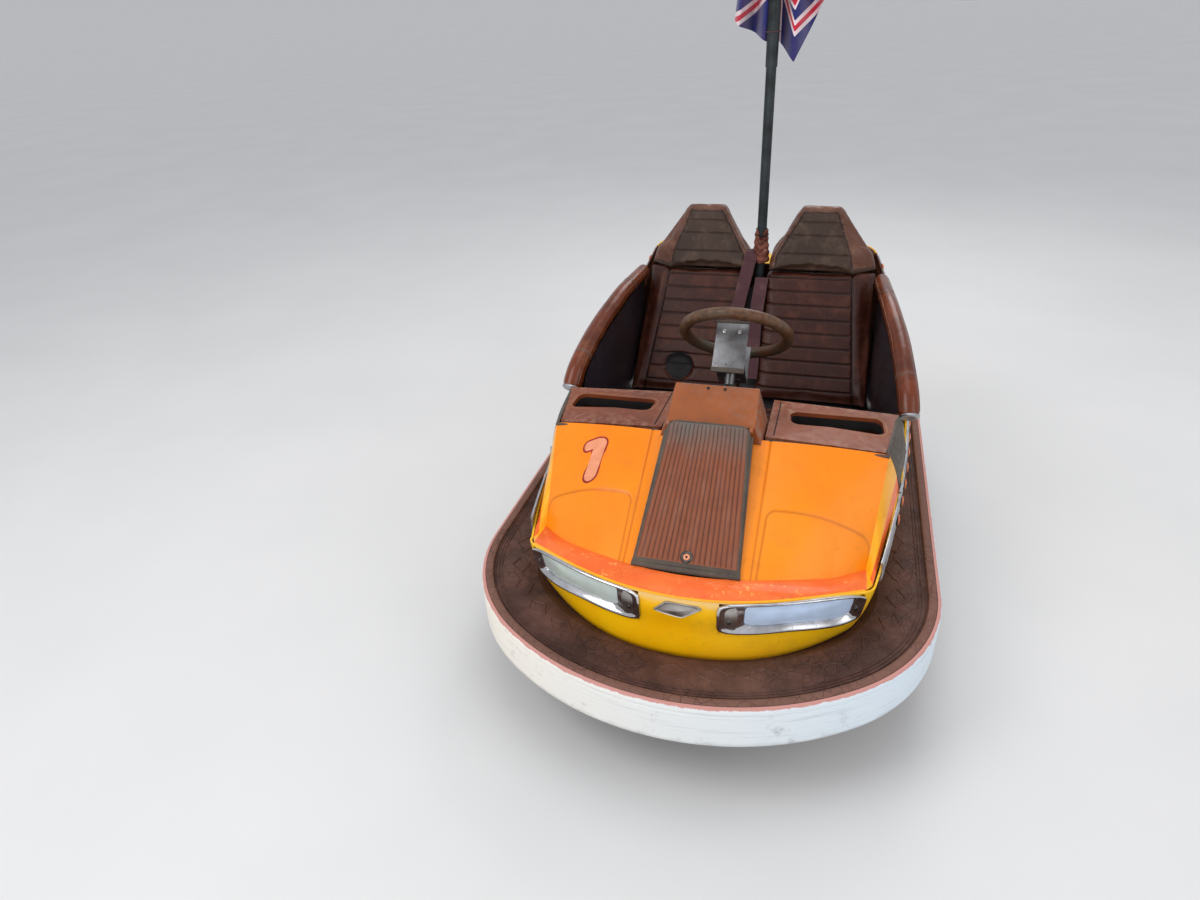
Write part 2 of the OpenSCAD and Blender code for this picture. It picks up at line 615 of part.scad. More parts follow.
// Solid through rings of points, each ring turning right-handed about the way to the next
module loft(rings) {
    n = len(rings[0]);
    last = (len(rings) - 1) * n;
    polyhedron(points = [for (r = rings) each r], faces = concat(
        [[for (j = [0:n - 1]) j]],
        [for (i = [0:len(rings) - 2]) for (j = [0:n - 1])
            let (a = i * n + j, b = i * n + (j + 1) % n) each [[a, a + n, b + n], [a, b + n, b]]],
        [[for (j = [n - 1:-1:0]) last + j]]));
}
// Ring of radius r about p, square to the direction d
function ring_at(p, d, r, n) = let (w = d / norm(d), u = cross(w, [0, 0, 1]) / norm(cross(w, [0, 0, 1])),
    v = cross(w, u)) [for (i = [0:n - 1]) p + r * (cos(360 * i / n) * u + sin(360 * i / n) * v)];
// Round bar along a path of points, with a radius for each
module bar(path, radii, n) {
    last = len(path) - 1;
    loft([for (i = [0:last]) ring_at(path[i], path[min(i + 1, last)] - path[max(i - 1, 0)], radii[i], n)]);
}
module rolls() {
    color([0.45, 0.24, 0.12]) for (side = [0, 1]) mirror([side, 0, 0])
        bar(ROLL, [for (i = [0:len(ROLL) - 1]) roll_r - (i == 0 ? 2 : 0.2 * i * i)], 20);
}
// Sills beside the seats, and the caps on the front ends of the rolls
sill_h = 26;
module sills() {
    way = ROLL[1] - ROLL[0];
    color([0.75, 0.75, 0.76]) for (side = [0, 1]) mirror([side, 0, 0]) {
        translate([0, 0, ledge_z + 0.3]) linear_extrude(sill_h)
            polygon([[474, dash_rear_y + 4], [498, dash_rear_y + 4], [498, 28], [474, 28]]);
        loft([for (k = [10, 6, 0.3])
            ring_at(ROLL[0] - k * way / norm(way), way, k < 10 ? roll_r : roll_r - 6, 20)]);
    }
}

// Silver strips along the sides, with round lamps
strip_low = 386;
strip_high = 440;
module side_strips() {
    color([0.75, 0.76, 0.8]) fin_strips();
    rows = [strip_low, (strip_low + strip_high) / 2, strip_high];
    color([0.75, 0.76, 0.8]) for (side = [0, 1]) mirror([side, 0, 0]) grid_sheet(
        [for (z = rows) [for (a = STRIP) strip_pt(a, z, 4)]],
        [for (z = rows) [for (a = STRIP) strip_pt(a, z, 1.5)]]);
}
STRIP = concat([for (a = [79:1:93]) a], [side_a - 0.1]);
// Strip up each fin, over the first columns of the tail
fin_steps = [0.01, 0.2, 0.4, 0.6, 0.8, 0.96];
module fin_strips() {
    cols = [for (k = [0.1, 0.5, 0.9]) mix(TAIL[0], TAIL[2], k)];
    for (side = [0, 1]) mirror([side, 0, 0]) grid_sheet(
        [for (t = fin_steps) [for (k = [0:2]) tail_high(cols[k], t, -4)]],
        [for (t = fin_steps) [for (k = [0:2]) tail_high(cols[k], t, -1.8)]]);
}
function strip_pt(a, z, o) = let (p = body_pt(a, lookup(z, LOWER) + o)) [p.x, p.y, z];
lamp_pitch = 90;
lamp_r = 16;
lamp_y0 = -330;
FIN_LAMPS = [492, 574, 654, 745];
module strip_lamps() {
    color([1, 0.5, 0.1]) for (side = [0, 1]) mirror([side, 0, 0])
        for (i = [0:11]) {
            y = lamp_y0 + lamp_pitch * i;
            x = body_c3.x + sqrt(pow(side_r + 13.8, 2) - pow(y - body_c3.y, 2));
            translate([x, y, (strip_low + strip_high) / 2]) rotate([0, 90, 0])
                cylinder(r = lamp_r, h = 4, $fn = 32);
        }
    color([1, 0.5, 0.1]) for (side = [0, 1]) mirror([side, 0, 0]) for (z = FIN_LAMPS)
        translate(tail_high(mix(TAIL[0], TAIL[2], 0.5), (z - belt_z) / (TAIL[1][3] - belt_z), -10.5))
            rotate([0, 73, -8]) cylinder(r = lamp_r - 2, h = 4, $fn = 32);
}

// Chassis

rail_z = 190;
rail_h = 40;
rail_x = 420;
front_rail_x = 160;
tray_y0 = -300;
tray_y1 = 110;
ring_z = 304;
ring_t = 12;
pivot_r = 90;
module chassis_frame() {
    color([0.3, 0.3, 0.32]) {
        bumper_sweep() hoop_section();
        intersection() {
            union() {
                for (y = [tray_y0 - 30, tray_y1, 640])
                    translate([-car_w / 2, y, rail_z + 12]) cube([car_w, 30, 26]);
                for (side = [0, 1]) mirror([side, 0, 0]) {
                    translate([front_rail_x, front_y, rail_z]) cube([40, tray_y0 - front_y, rail_h]);
                    translate([front_rail_x, 640, rail_z]) cube([40, rear_y - 640, rail_h]);
                }
            }
            linear_extrude(bumper_top) hoop_fill();
        }
        for (side = [0, 1]) mirror([side, 0, 0]) {
            translate([rail_x, tray_y0 - 30, rail_z]) cube([30, 1040, rail_h]);
            translate([front_rail_x - 40, drive_y - 40, ring_z]) cube([80, 80, ring_t]);
            translate([front_rail_x, drive_y - 40, rail_z + rail_h - 1])
                cube([8, 80, ring_z - rail_z - rail_h + 2]);
            translate([rail_x, axle_y - 40, rear_r - 35]) difference() {
                cube([30, 80, rail_z - rear_r + 36]);
                translate([-1, 40, 35]) rotate([0, 90, 0]) cylinder(r = axle_r + 0.3, h = 32, $fn = 48);
            }
        }
        difference() {
            translate([0, drive_y, ring_z]) cylinder(r = 150, h = ring_t, $fn = 96);
            translate([0, drive_y, ring_z - 1]) cylinder(r = pivot_r + running, h = 40, $fn = 96);
        }
        difference() {
            translate([0, pole_y, rail_z + 12]) union() {
                translate([-40, -40, 0]) cube([80, 76, 26]);
                cylinder(r = pole_r + 10, h = 80, $fn = 64);
            }
            translate([0, pole_y, rail_z + 18]) cylinder(r = pole_r + 0.3, h = 80, $fn = 64);
        }
    }
}
module floor_pan() {
    color([0.35, 0.35, 0.36]) {
        difference() {
            translate([-391, tray_y0 + 0.3, floor_z - 5]) cube([782, tray_y1 - tray_y0 - 0.6, 216]);
            translate([-387, tray_y0 + 4.3, floor_z]) cube([774, tray_y1 - tray_y0 - 8.6, 300]);
        }
        for (side = [0, 1]) mirror([side, 0, 0]) translate([390, tray_y0 + 0.3, 299]) cube([34, 900, 4]);
    }
}
module rear_axle() {
    color([0.4, 0.4, 0.42]) translate([0, axle_y, rear_r]) rotate([0, 90, 0])
        cylinder(r = axle_r, h = 2 * rail_x + 66, center = true, $fn = 48);
}
module rear_hub() {
    color([0.5, 0.5, 0.52]) translate([track / 2, axle_y, rear_r]) rotate([0, 90, 0]) difference() {
        cylinder(r = rear_r - 22, h = rear_w - 6, center = true, $fn = 64);
        cylinder(r = axle_r + running, h = rear_w + 2, center = true, $fn = 48);
    }
}
module rear_tyre() {
    color([0.1, 0.1, 0.1]) translate([track / 2, axle_y, rear_r]) rotate([0, 90, 0]) difference() {
        cylinder(r = rear_r, h = rear_w, center = true, $fn = 96);
        cylinder(r = rear_r - 22, h = rear_w + 2, center = true, $fn = 64);
    }
}
module rear_hub_left() { mirror([1, 0, 0]) rear_hub(); }
module rear_tyre_left() { mirror([1, 0, 0]) rear_tyre(); }
module rear_hub_right() { rear_hub(); }
module rear_tyre_right() { rear_tyre(); }

// Housing of the steering column on the floor, seen from the side
PEDESTAL = [[-294, floor_z + 0.3], [-170, floor_z + 0.3], [-118, 470], [-118, 560], [-294, 560]];
module column_tube() {
    color([0.2, 0.2, 0.2]) difference() {
        union() {
            steer_place() translate([0, 0, -bracket_drop - 260])
                cylinder(r = shaft_r + 10, h = 220, $fn = 64);
            translate([-90, 0, 0]) rotate([90, 0, 90]) linear_extrude(180) polygon(PEDESTAL);
        }
        translate([-86, 0, 0]) rotate([90, 0, 90]) linear_extrude(172)
            offset(delta = -4) polygon(PEDESTAL);
        steer_place() translate([0, 0, -bracket_drop - 340])
            cylinder(r = shaft_r + running, h = 400, $fn = 64);
    }
}
pedal_x = 190;
pedal_w = 86;
module pedal() {
    color([0.3, 0.3, 0.3]) translate([pedal_x, -250, floor_z + 0.3]) {
        rotate([90, 0, 90]) linear_extrude(pedal_w)
            polygon([[0, 0], [12, 0], [16, 44], [150, 8], [150, 0], [164, 0], [164, 12], [12, 62], [0, 52]]);
        for (i = [0:4]) translate([8, 28 + 26 * i, 60 - 9.5 * i]) rotate([-18, 0, 0])
            translate([0, 0, -9]) cube([pedal_w - 16, 8, 8]);
    }
}

// Pole, boot, head, flag and belts
module pole_tube() {
    color([0.2, 0.22, 0.24]) translate([0, pole_y, rail_z + 18.3])
        cylinder(r = pole_r, h = 1340, $fn = 48);
}
module pole_sleeve() {
    color([0.25, 0.27, 0.3]) translate([0, pole_y, 1400]) difference() {
        cylinder(r = sleeve_r, h = pole_top - 1400 - 60, $fn = 48);
        translate([0, 0, -1]) cylinder(r = pole_r + 0.3, h = 152, $fn = 48);
    }
}
module pole_boot() {
    color([0.4, 0.2, 0.15]) translate([0, pole_y, mast_z]) difference() {
        cylinder(r1 = pole_r + 14, r2 = pole_r + 6, h = 110, $fn = 32);
        translate([0, 0, -1]) cylinder(r = pole_r + 0.3, h = 112, $fn = 48);
    }
}
module collector_head() {
    color([0.5, 0.45, 0.35]) translate([0, pole_y, pole_top - 60 + 0.3]) {
        cylinder(r = sleeve_r + 5, h = 40, $fn = 48);
        translate([0, 0, 40]) cylinder(r = 42, h = 19.7, $fn = 64);
    }
}
// The flag hangs behind the pole, drawn from the front as [x, height]
FLAG = [[-145, 1478], [-15, 1405], [24, 1422], [72, 1387], [200, 1620], [168, 1800], [0, 1880], [-122, 1800]];
module flag() {
    color([0.1, 0.15, 0.5]) translate([0, pole_y + sleeve_r + 8, 0]) rotate([90, 0, 0])
        linear_extrude(7) polygon(FLAG);
}
// One belt down between the seats, one over the inner edge of the left back
belt_w = 46;
module belts() {
    color([0.29, 0.16, 0.19]) back_place() {
        translate([-belt_w / 2 + 12, -3.5, 60]) cube([belt_w, 3, back_l - 90]);
        translate([-belt_w - 18, -3.5, 170]) cube([belt_w, 3, back_l - 178]);
    }
}

// Steering
module steer_place() {
    translate(wheel_c) rotate([-steer_lean, 0, 0]) children();
}
module steering_ring() {
    color([0.5, 0.3, 0.15]) steer_place() rotate_extrude($fn = 96) translate([ring_r, 0])
        circle(r = ring_tube_r, $fn = 32);
}
module steering_bracket() {
    color([0.55, 0.55, 0.55]) steer_place() {
        for (side = [0, 1]) mirror([0, side, 0])
            translate([-bracket_w / 2, 76, -bracket_drop]) cube([bracket_w, 8, bracket_drop - 2]);
        difference() {
            translate([-bracket_w / 2, -84, -bracket_drop]) cube([bracket_w, 168, 8]);
            for (side = [-1, 1]) translate([-24, side * 50 - 6, -bracket_drop - 1]) cube([48, 12, 10]);
        }
        translate([0, 0, -bracket_drop - 320]) cylinder(r = shaft_r, h = 322, $fn = 64);
    }
}

// Drive unit
module drive_fork() {
    color([0.4, 0.4, 0.42]) translate([0, drive_y, 0]) {
        translate([0, 0, 280]) cylinder(r = 110, h = 23.7, $fn = 96);
        translate([0, 0, 300]) cylinder(r = 90, h = 17, $fn = 96);
        for (side = [0, 1]) mirror([side, 0, 0]) difference() {
            translate([drive_w / 2 + 8, -40, 90]) cube([10, 80, 191]);
            translate([0, 0, drive_r]) rotate([0, 90, 0]) cylinder(r = axle_r + running, h = 100, $fn = 48);
        }
    }
}
module drive_motor() {
    color([0.3, 0.32, 0.35]) translate([0, drive_y, 317.3]) cylinder(r = 80, h = 120, $fn = 64);
}
module drive_hub() {
    color([0.5, 0.5, 0.52]) translate([0, drive_y, drive_r]) rotate([0, 90, 0]) {
        cylinder(r = drive_r - 26, h = drive_w - 6, center = true, $fn = 64);
        cylinder(r = axle_r, h = drive_w + 40, center = true, $fn = 48);
    }
}
module drive_tyre() {
    color([0.1, 0.1, 0.1]) translate([0, drive_y, drive_r]) rotate([0, 90, 0]) difference() {
        cylinder(r = drive_r, h = drive_w, center = true, $fn = 96);
        cylinder(r = drive_r - 26, h = drive_w + 2, center = true, $fn = 64);
    }
}

chassis_frame();
floor_pan();
bumper_tyre();
bumper_band();
nose_shell();
hood_shell();
side_left();
side_right();
tail_shell();
console();
dash_left();
dash_right();
lamp_frames();
lamp_lenses();
badge_plate();
column_tube();
rear_axle();
seat_base();
seat_shell();
seat_backs();
headrests();
inner_panels();
rolls();
sills();
side_strips();
strip_lamps();
pole_tube();
pole_sleeve();
pole_boot();
collector_head();
flag();
belts();
pedal();
hatch_cover();
hatch_lock();
steering_ring();
steering_bracket();
drive_fork();
drive_motor();
drive_hub();
drive_tyre();
rear_hub_left();
rear_tyre_left();
rear_hub_right();
rear_tyre_right();
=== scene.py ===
import json
import math

import bmesh
import bpy
import numpy as np
from mathutils import Matrix, Vector


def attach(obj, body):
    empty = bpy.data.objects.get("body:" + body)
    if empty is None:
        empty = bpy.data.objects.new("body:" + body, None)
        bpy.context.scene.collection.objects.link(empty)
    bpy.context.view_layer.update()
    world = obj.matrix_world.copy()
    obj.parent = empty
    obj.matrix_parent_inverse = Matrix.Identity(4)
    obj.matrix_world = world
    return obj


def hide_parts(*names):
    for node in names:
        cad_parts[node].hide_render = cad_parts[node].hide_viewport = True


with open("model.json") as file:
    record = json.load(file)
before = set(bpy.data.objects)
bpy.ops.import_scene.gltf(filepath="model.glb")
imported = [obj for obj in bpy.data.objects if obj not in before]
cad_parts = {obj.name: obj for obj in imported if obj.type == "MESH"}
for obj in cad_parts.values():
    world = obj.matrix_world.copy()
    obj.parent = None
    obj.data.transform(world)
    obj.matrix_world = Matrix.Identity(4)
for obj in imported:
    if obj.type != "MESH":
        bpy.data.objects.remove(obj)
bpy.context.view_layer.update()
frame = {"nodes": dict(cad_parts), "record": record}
RNG = np.random.default_rng(7)
NODES = frame["nodes"]
SLOT = {row["node"]: row["material_slot"] for row in frame["record"]["subparts"]}
BODY = {n: b for b, names in frame["record"]["behaviour"]["bodies"].items() for n in names}
MAT = {}
SIDES = ((-1, "left"), (1, "right"))
MM = 0.001
TURN = 2 * math.pi


# Materials
def srgb(code):
    """Linear colour of a hex code."""
    rgb = [int(code[i:i + 2], 16) / 255 for i in (0, 2, 4)]
    return tuple(c / 12.92 if c <= 0.04045 else ((c + 0.055) / 1.055) ** 2.4 for c in rgb)


class Graph:
    """A material in the making. A colour is a hex code, a linear triple or a node's output."""

    def __init__(self, name):
        self.name = name
        self.mat = bpy.data.materials.new(name)
        self.mat.use_nodes = True
        self.tree = self.mat.node_tree
        self.tree.nodes.clear()
        out = self.tree.nodes.new("ShaderNodeOutputMaterial")
        self.bsdf = self.tree.nodes.new("ShaderNodeBsdfPrincipled")
        self.tree.links.new(self.bsdf.outputs[0], out.inputs[0])
        self.coord = self.tree.nodes.new("ShaderNodeTexCoord").outputs["Object"]
        self.bumps = []

    def put(self, socket, value):
        """Links an input to a node's output, or sets its value."""
        if isinstance(value, bpy.types.NodeSocket):
            self.tree.links.new(value, socket)
        elif socket.type == "RGBA":
            socket.default_value = (*(srgb(value) if isinstance(value, str) else value), 1)
        else:
            socket.default_value = value

    def node(self, kind, inputs, **settings):
        """A shader node with its settings and inputs."""
        n = self.tree.nodes.new("ShaderNode" + kind)
        for k, v in settings.items():
            setattr(n, k, v)
        for k, v in inputs.items():
            self.put(n.inputs[k], v)
        return n

    def math(self, op, a, b, clamp=False):
        """Two values combined."""
        return self.node("Math", {0: a, 1: b}, operation=op, use_clamp=clamp).outputs[0]

    def times(self, a, b):
        """Product of two values."""
        return self.math("MULTIPLY", a, b)

    def inverse(self, value):
        """What a value lacks of 1."""
        return self.math("SUBTRACT", 1.0, value)

    def scaled(self, x, y, z, turned=(0, 0, 0)):
        """Object coordinates, scaled along each axis and turned."""
        return self.node("Mapping", {"Vector": self.coord, "Scale": (x, y, z), "Rotation": turned}).outputs[0]

    def noise(self, scale, detail, rough=0.55, vector=None, distort=0.0):
        """Soft random values between 0 and 1."""
        return self.node("TexNoise", {"Vector": vector or self.coord, "Scale": scale, "Detail": detail,
                                      "Roughness": rough, "Distortion": distort}).outputs[0]

    def cells(self, scale, vector=None):
        """Distance to the edge of random cells."""
        return self.node("TexVoronoi", {"Vector": vector or self.coord, "Scale": scale},
                         feature="DISTANCE_TO_EDGE").outputs[0]

    def mask(self, value, lo, hi, least=0.0, most=1.0):
        """Maps lo to least and hi to most, and stops there."""
        return self.node("MapRange", {"Value": value, "From Min": lo, "From Max": hi, "To Min": least,
                                      "To Max": most}).outputs[0]

    def patches(self, lo, hi, *noise):
        """Patches where a noise passes from lo to hi."""
        return self.mask(self.noise(*noise), lo, hi)

    def cracks(self, scale, width, where, vector=None):
        """Lines between random cells, where another mask shows."""
        return self.times(self.inverse(self.mask(self.cells(scale, vector), 0.0, width)), where)

    def ragged(self, value, amount, *noise):
        """A coordinate made uneven by a noise."""
        return self.math("ADD", value, self.times(self.noise(*noise), amount))

    def xyz(self):
        """The three object coordinates."""
        return self.node("SeparateXYZ", {0: self.coord}).outputs

    def ramp(self, value, stops):
        """Colour from a ramp of positions and colours."""
        n = self.node("ValToRGB", {"Fac": value})
        elements = n.color_ramp.elements
        while len(elements) < len(stops):
            elements.new(0.5)
        for element, (position, color) in zip(elements, stops):
            element.position = position
            element.color = (*srgb(color), 1)
        return n.outputs[0]

    def mix(self, mask, a, b):
        """Colour a where the mask is 0, b where it is 1."""
        return self.node("Mix", {0: mask, 6: a, 7: b}, data_type="RGBA").outputs[2]

    def tint(self, color, mask, amount, over):
        """A colour laid over another by a share of a mask."""
        return self.mix(self.times(mask, amount), color, over)

    def seam(self, color, dark, amount):
        """Painted shade: darkens a colour along the grooves, seams and creases that a mesh marks."""
        mark = self.node("Attribute", {}, attribute_name="seam").outputs["Fac"]
        return self.mix(self.math("MULTIPLY", mark, amount, True), color, dark)

    def bump(self, height, strength, distance):
        """Adds a relief to the surface."""
        self.bumps.append({"Height": height, "Strength": strength, "Distance": distance})

    def done(self, color, rough, metallic=0.0, **more):
        """Links the surface and keeps the material under its name."""
        more.setdefault("Specular_IOR_Level", 0.3)
        normal = None
        for inputs in self.bumps:
            if normal:
                inputs["Normal"] = normal
            normal = self.node("Bump", inputs).outputs[0]
        if normal:
            more["Normal"] = normal
        for k, v in {"Base_Color": color, "Roughness": rough, "Metallic": metallic, **more}.items():
            self.put(self.bsdf.inputs[k.replace("_", " ")], v)
        MAT[self.name] = self.mat


def worn(name, base, shade, rough, metallic, scale, dirt, dirt_amount, grain=900, coat=0.0, edge=None):
    """General worn surface: two tones, dirt in patches, fine grain and varied roughness."""
    g = Graph(name)
    small = g.noise(scale * 7, 8, 0.65)
    col = g.mix(g.patches(0.35, 0.68, scale, 6), base, shade)
    spots = g.times(g.mask(small, 0.5, 0.72), g.patches(0.4, 0.7, scale * 0.6, 3))
    col = g.tint(col, spots, dirt_amount, dirt)
    g.bump(g.noise(grain, 3), 0.15, 0.0004)
    g.bump(small, 0.12, 0.002)
    if edge:
        nick = g.mask(g.node("NewGeometry", {}).outputs["Pointiness"], 0.515, 0.56)
        col = g.mix(g.times(nick, g.patches(0.4, 0.6, 60, 5)), col, edge)
    g.done(col, g.mask(small, 0.3, 0.7, *rough), metallic, Coat_Weight=coat, Coat_Roughness=0.15)


def deck_material():
    """Cracked brown rubber with dust and a lighter rim."""
    g = Graph("deck_rubber")
    wavy = g.node("TexNoise", {"Vector": g.coord, "Scale": 9.0, "Detail": 3.0}).outputs["Color"]
    warp = g.node("Mix", {0: 0.035, 4: g.coord, 5: wavy}, data_type="VECTOR").outputs[1]
    crack = g.cracks(38, 0.045, g.patches(0.35, 0.6, 5, 3), warp)
    hair = g.cracks(74, 0.05, g.patches(0.45, 0.65, 7, 3), warp)
    lines = g.math("MAXIMUM", crack, g.times(hair, 0.6))
    col = g.ramp(g.noise(11, 7, 0.6), [(0.3, "3A231C"), (0.5, "50332A"), (0.72, "664439")])
    col = g.tint(col, g.patches(0.5, 0.78, 3.2, 6, 0.7), 0.3, "8A6A5C")
    col = g.tint(col, g.mask(g.xyz()[2], 0.2995, 0.3015), 0.6, "8A6254")
    # Painted shade along the grooves that a mesh marks.
    col = g.seam(col, "2A1916", 0.8)
    col = g.tint(col, lines, 0.6, "2A1A18")
    col = g.tint(col, g.patches(0.66, 0.74, 170, 4, 0.7), 0.4, "B49A8C")
    g.bump(g.inverse(lines), 0.55, 0.003)
    g.bump(g.noise(260, 6, 0.7), 0.3, 0.0015)
    g.bump(g.noise(24, 5), 0.25, 0.006)
    g.done(col, g.patches(-0.5, 1.1, 35, 5))


def band_material():
    """White side wall with painted light, bluish on one side and creamy on the other; streaks along it, a
    pink upper edge, and darker towards its foot.
    """
    g = Graph("side_rubber")
    x, _y, z = g.xyz()
    # Painted light: creamy on the left side, bluish on the right.
    col = g.mix(g.mask(x, -0.5, 0.5), "EFE7DA", "DDE9F2")
    streak = g.noise(1.0, 7, 0.7, g.scaled(5, 5, 95))
    col = g.tint(col, g.mask(streak, 0.54, 0.8), 0.5, "8C8F97")
    scuff = g.times(g.patches(0.58, 0.72, 14, 6, 0.7), g.patches(0.4, 0.6, 90, 5))
    col = g.tint(col, scuff, 0.6, "6E6A70")
    col = g.mix(g.mask(g.ragged(z, 0.012, 38, 5, 0.7), 0.3015, 0.3035), col, "C98F86")
    col = g.tint(col, g.inverse(g.mask(g.ragged(z, 0.03, 20, 4), 0.19, 0.215)), 0.55, "77736F")
    g.bump(streak, 0.12, 0.002)
    g.bump(g.noise(300, 4), 0.12, 0.0006)
    g.done(col, g.patches(-0.4, 1.5, 26, 5))


def shell_material(name, base, deep, chip, fade=None):
    """Glossy moulded shell with soft tone, scratches, stone chips, dirt, and painted shade in the creases
    that a mesh marks.
    """
    g = Graph(name)
    col = g.mix(g.patches(0.35, 0.7, 4.5, 5), base, deep)
    if fade:
        col = g.tint(col, g.patches(0.45, 0.7, 2.1, 3), 0.5, fade)
    across = g.patches(0.66, 0.7, 1.0, 3, 0.6, g.scaled(240, 18, 60, (0.3, 0.2, 0.6)))
    along = g.patches(0.68, 0.72, 1.0, 3, 0.6, g.scaled(16, 260, 60, (0.1, 0.4, -0.5)))
    lines = g.times(g.math("MAXIMUM", across, along), g.patches(0.45, 0.6, 6, 3))
    col = g.tint(col, lines, 0.4, chip)
    chips = g.times(g.patches(0.66, 0.7, 95, 5, 0.7), g.patches(0.5, 0.62, 8, 4))
    col = g.mix(chips, col, chip)
    grime = g.patches(0.52, 0.78, 17, 7, 0.7)
    col = g.tint(col, grime, 0.22, "7A4A20")
    if name == "body_yellow":
        _x, y, z = g.xyz()
        edge = g.times(g.mask(g.ragged(z, 0.03, 40, 5), 0.436, 0.452), g.mask(y, -0.64, -0.72))
        col = g.tint(col, edge, 0.6, "EFD09A")
    g.bump(chips, -0.3, 0.001)
    g.bump(g.noise(7, 4), 0.12, 0.006)
    g.bump(lines, -0.12, 0.0005)
    # Painted shade along the hood's recesses and crease.
    col = g.seam(col, "6A2E0E", 0.75)
    g.done(col, g.mask(grime, 0, 1, 0.3, 0.55), Coat_Weight=0.08, Coat_Roughness=0.2,
           Specular_IOR_Level=0.25)


def band_paint_material():
    """Redder orange band on the hood's nose edge, cracked and chipped through to yellow."""
    g = Graph("band_red")
    col = g.mix(g.patches(0.35, 0.7, 14, 6), "FA7428", "F0601C")
    crack = g.cracks(60, 0.03, g.patches(0.5, 0.6, 11, 4))
    chips = g.times(g.patches(0.58, 0.63, 70, 6, 0.75), g.patches(0.42, 0.58, 12, 4))
    col = g.mix(chips, col, "FFB05A")
    col = g.tint(col, crack, 0.7, "8E3A1E")
    g.bump(chips, -0.5, 0.0015)
    g.bump(crack, -0.4, 0.001)
    g.done(col, g.patches(-0.4, 1.3, 30, 5), Coat_Weight=0.25)


def vinyl_material(name, base, deep, worn_to, gloss, coat):
    """Padded vinyl: leathery grain, worn lighter patches, fine creases, and painted shade in the grooves that
    a mesh marks.
    """
    g = Graph(name)
    rub = g.times(g.patches(0.5, 0.72, 15, 7, 0.7), 0.55)
    col = g.mix(rub, g.mix(g.patches(0.35, 0.7, 7, 6), base, deep), worn_to)
    # Painted shade in the cushions' channels and seams.
    col = g.seam(col, "0E0605", 0.85)
    g.bump(g.cells(420), 0.25, 0.0008)
    g.bump(g.patches(0.45, 0.6, 1.0, 4, 0.6, g.scaled(60, 9, 30), 0.6), 0.15, 0.002)
    g.done(col, g.mask(rub, 0, 1, *gloss), Coat_Weight=coat, Coat_Roughness=0.25, Specular_IOR_Level=0.25)


def brushed_material(name, base, deep, rough, pits, metallic=1.0):
    """Bare or plated metal with rubbed directions, pits and stains."""
    g = Graph(name)
    spots = g.times(g.patches(0.6, 0.66, 120, 5, 0.7), g.patches(0.45, 0.6, 9, 3))
    col = g.mix(spots, g.mix(g.patches(0.35, 0.7, 16, 6), base, deep), pits)
    g.bump(spots, -0.4, 0.0008)
    g.bump(g.noise(1.0, 4, 0.6, g.scaled(14, 14, 420)), 0.06, 0.0005)
    g.bump(g.noise(30, 4), 0.08, 0.003)
    g.done(col, g.mask(g.noise(24, 6), 0.3, 0.7, *rough), metallic)


def lens_material():
    """Milky lens with a painted reflection, greener on one side and bluer on the other."""
    g = Graph("lens")
    # Painted reflection: the left lens greener, the right one bluer.
    col = g.mix(g.mask(g.xyz()[0], -0.2, 0.2), "C4CEC4", "C8DCF8")
    col = g.tint(col, g.patches(0.4, 0.7, 26, 5), 0.3, "9AA6B4")
    g.bump(g.noise(40, 3), 0.3, 0.002)
    g.done(col, 0.25, Coat_Weight=0.3, IOR=1.45)


def lamp_material():
    """Orange lamp cap in two tones."""
    g = Graph("lamp_orange")
    g.bump(g.noise(200, 3), 0.2, 0.0008)
    g.done(g.mix(g.patches(0.4, 0.7, 60, 4), "F4812A", "D9581A"), 0.25, Coat_Weight=0.5,
           Transmission_Weight=0.1)


def web_material():
    """Woven belt webbing."""
    g = Graph("belt_web")
    slanted = g.scaled(1, 1, 1, (0.6, 0, 0.78))
    weave = g.node("TexWave", {"Vector": slanted, "Scale": 160.0, "Distortion": 1.0},
                   wave_type="BANDS").outputs[1]
    col = g.tint(g.mix(weave, "3A1F26", "5E3A3E"), g.patches(0.5, 0.75, 20, 5), 0.5, "7A5550")
    g.bump(weave, 0.5, 0.0008)
    g.done(col, 0.8, Sheen_Weight=0.2)


def flag_material():
    """Three crosses of a national flag, drawn from the cloth's own flat coordinates."""
    g = Graph("flag_cloth")
    blue, white, red = "23286E", "F1DDE0", "D0203C"
    slope = 0.8
    at = g.node("Attribute", {}, attribute_name="flat").outputs["Vector"]
    u, v, _w = g.node("SeparateXYZ", {0: at}).outputs
    slant = g.times(u, slope)
    bars = [g.math("ABSOLUTE", g.math("DIVIDE", g.math(op, v, slant), math.hypot(1, slope)), 0.0)
            for op in ("SUBTRACT", "ADD")]
    diagonal = g.math("MINIMUM", *bars)
    upright = g.math("MINIMUM", g.math("ABSOLUTE", u, 0.0), g.math("ABSOLUTE", v, 0.0))
    col = blue
    for bar, half, color in ((diagonal, 0.08, white), (diagonal, 0.03, red), (upright, 0.13, white),
                             (upright, 0.08, red)):
        col = g.mix(g.math("LESS_THAN", bar, half), col, color)
    col = g.tint(col, g.patches(0.45, 0.7, 12, 5), 0.25, "7C5A62")
    g.bump(g.node("TexWave", {"Vector": g.coord, "Scale": 500.0}).outputs[1], 0.1, 0.0004)
    g.done(col, 0.75, Sheen_Weight=0.3)


def leather_material():
    """Red-brown boot leather, scuffed to tan at its folds."""
    g = Graph("boot_leather")
    col = g.mix(g.patches(0.4, 0.65, 30, 6), "5A2A20", "8A5140")
    col = g.tint(col, g.patches(0.55, 0.7, 90, 6), 0.6, "B08A74")
    g.bump(g.noise(140, 6), 0.5, 0.002)
    g.done(col, 0.65)


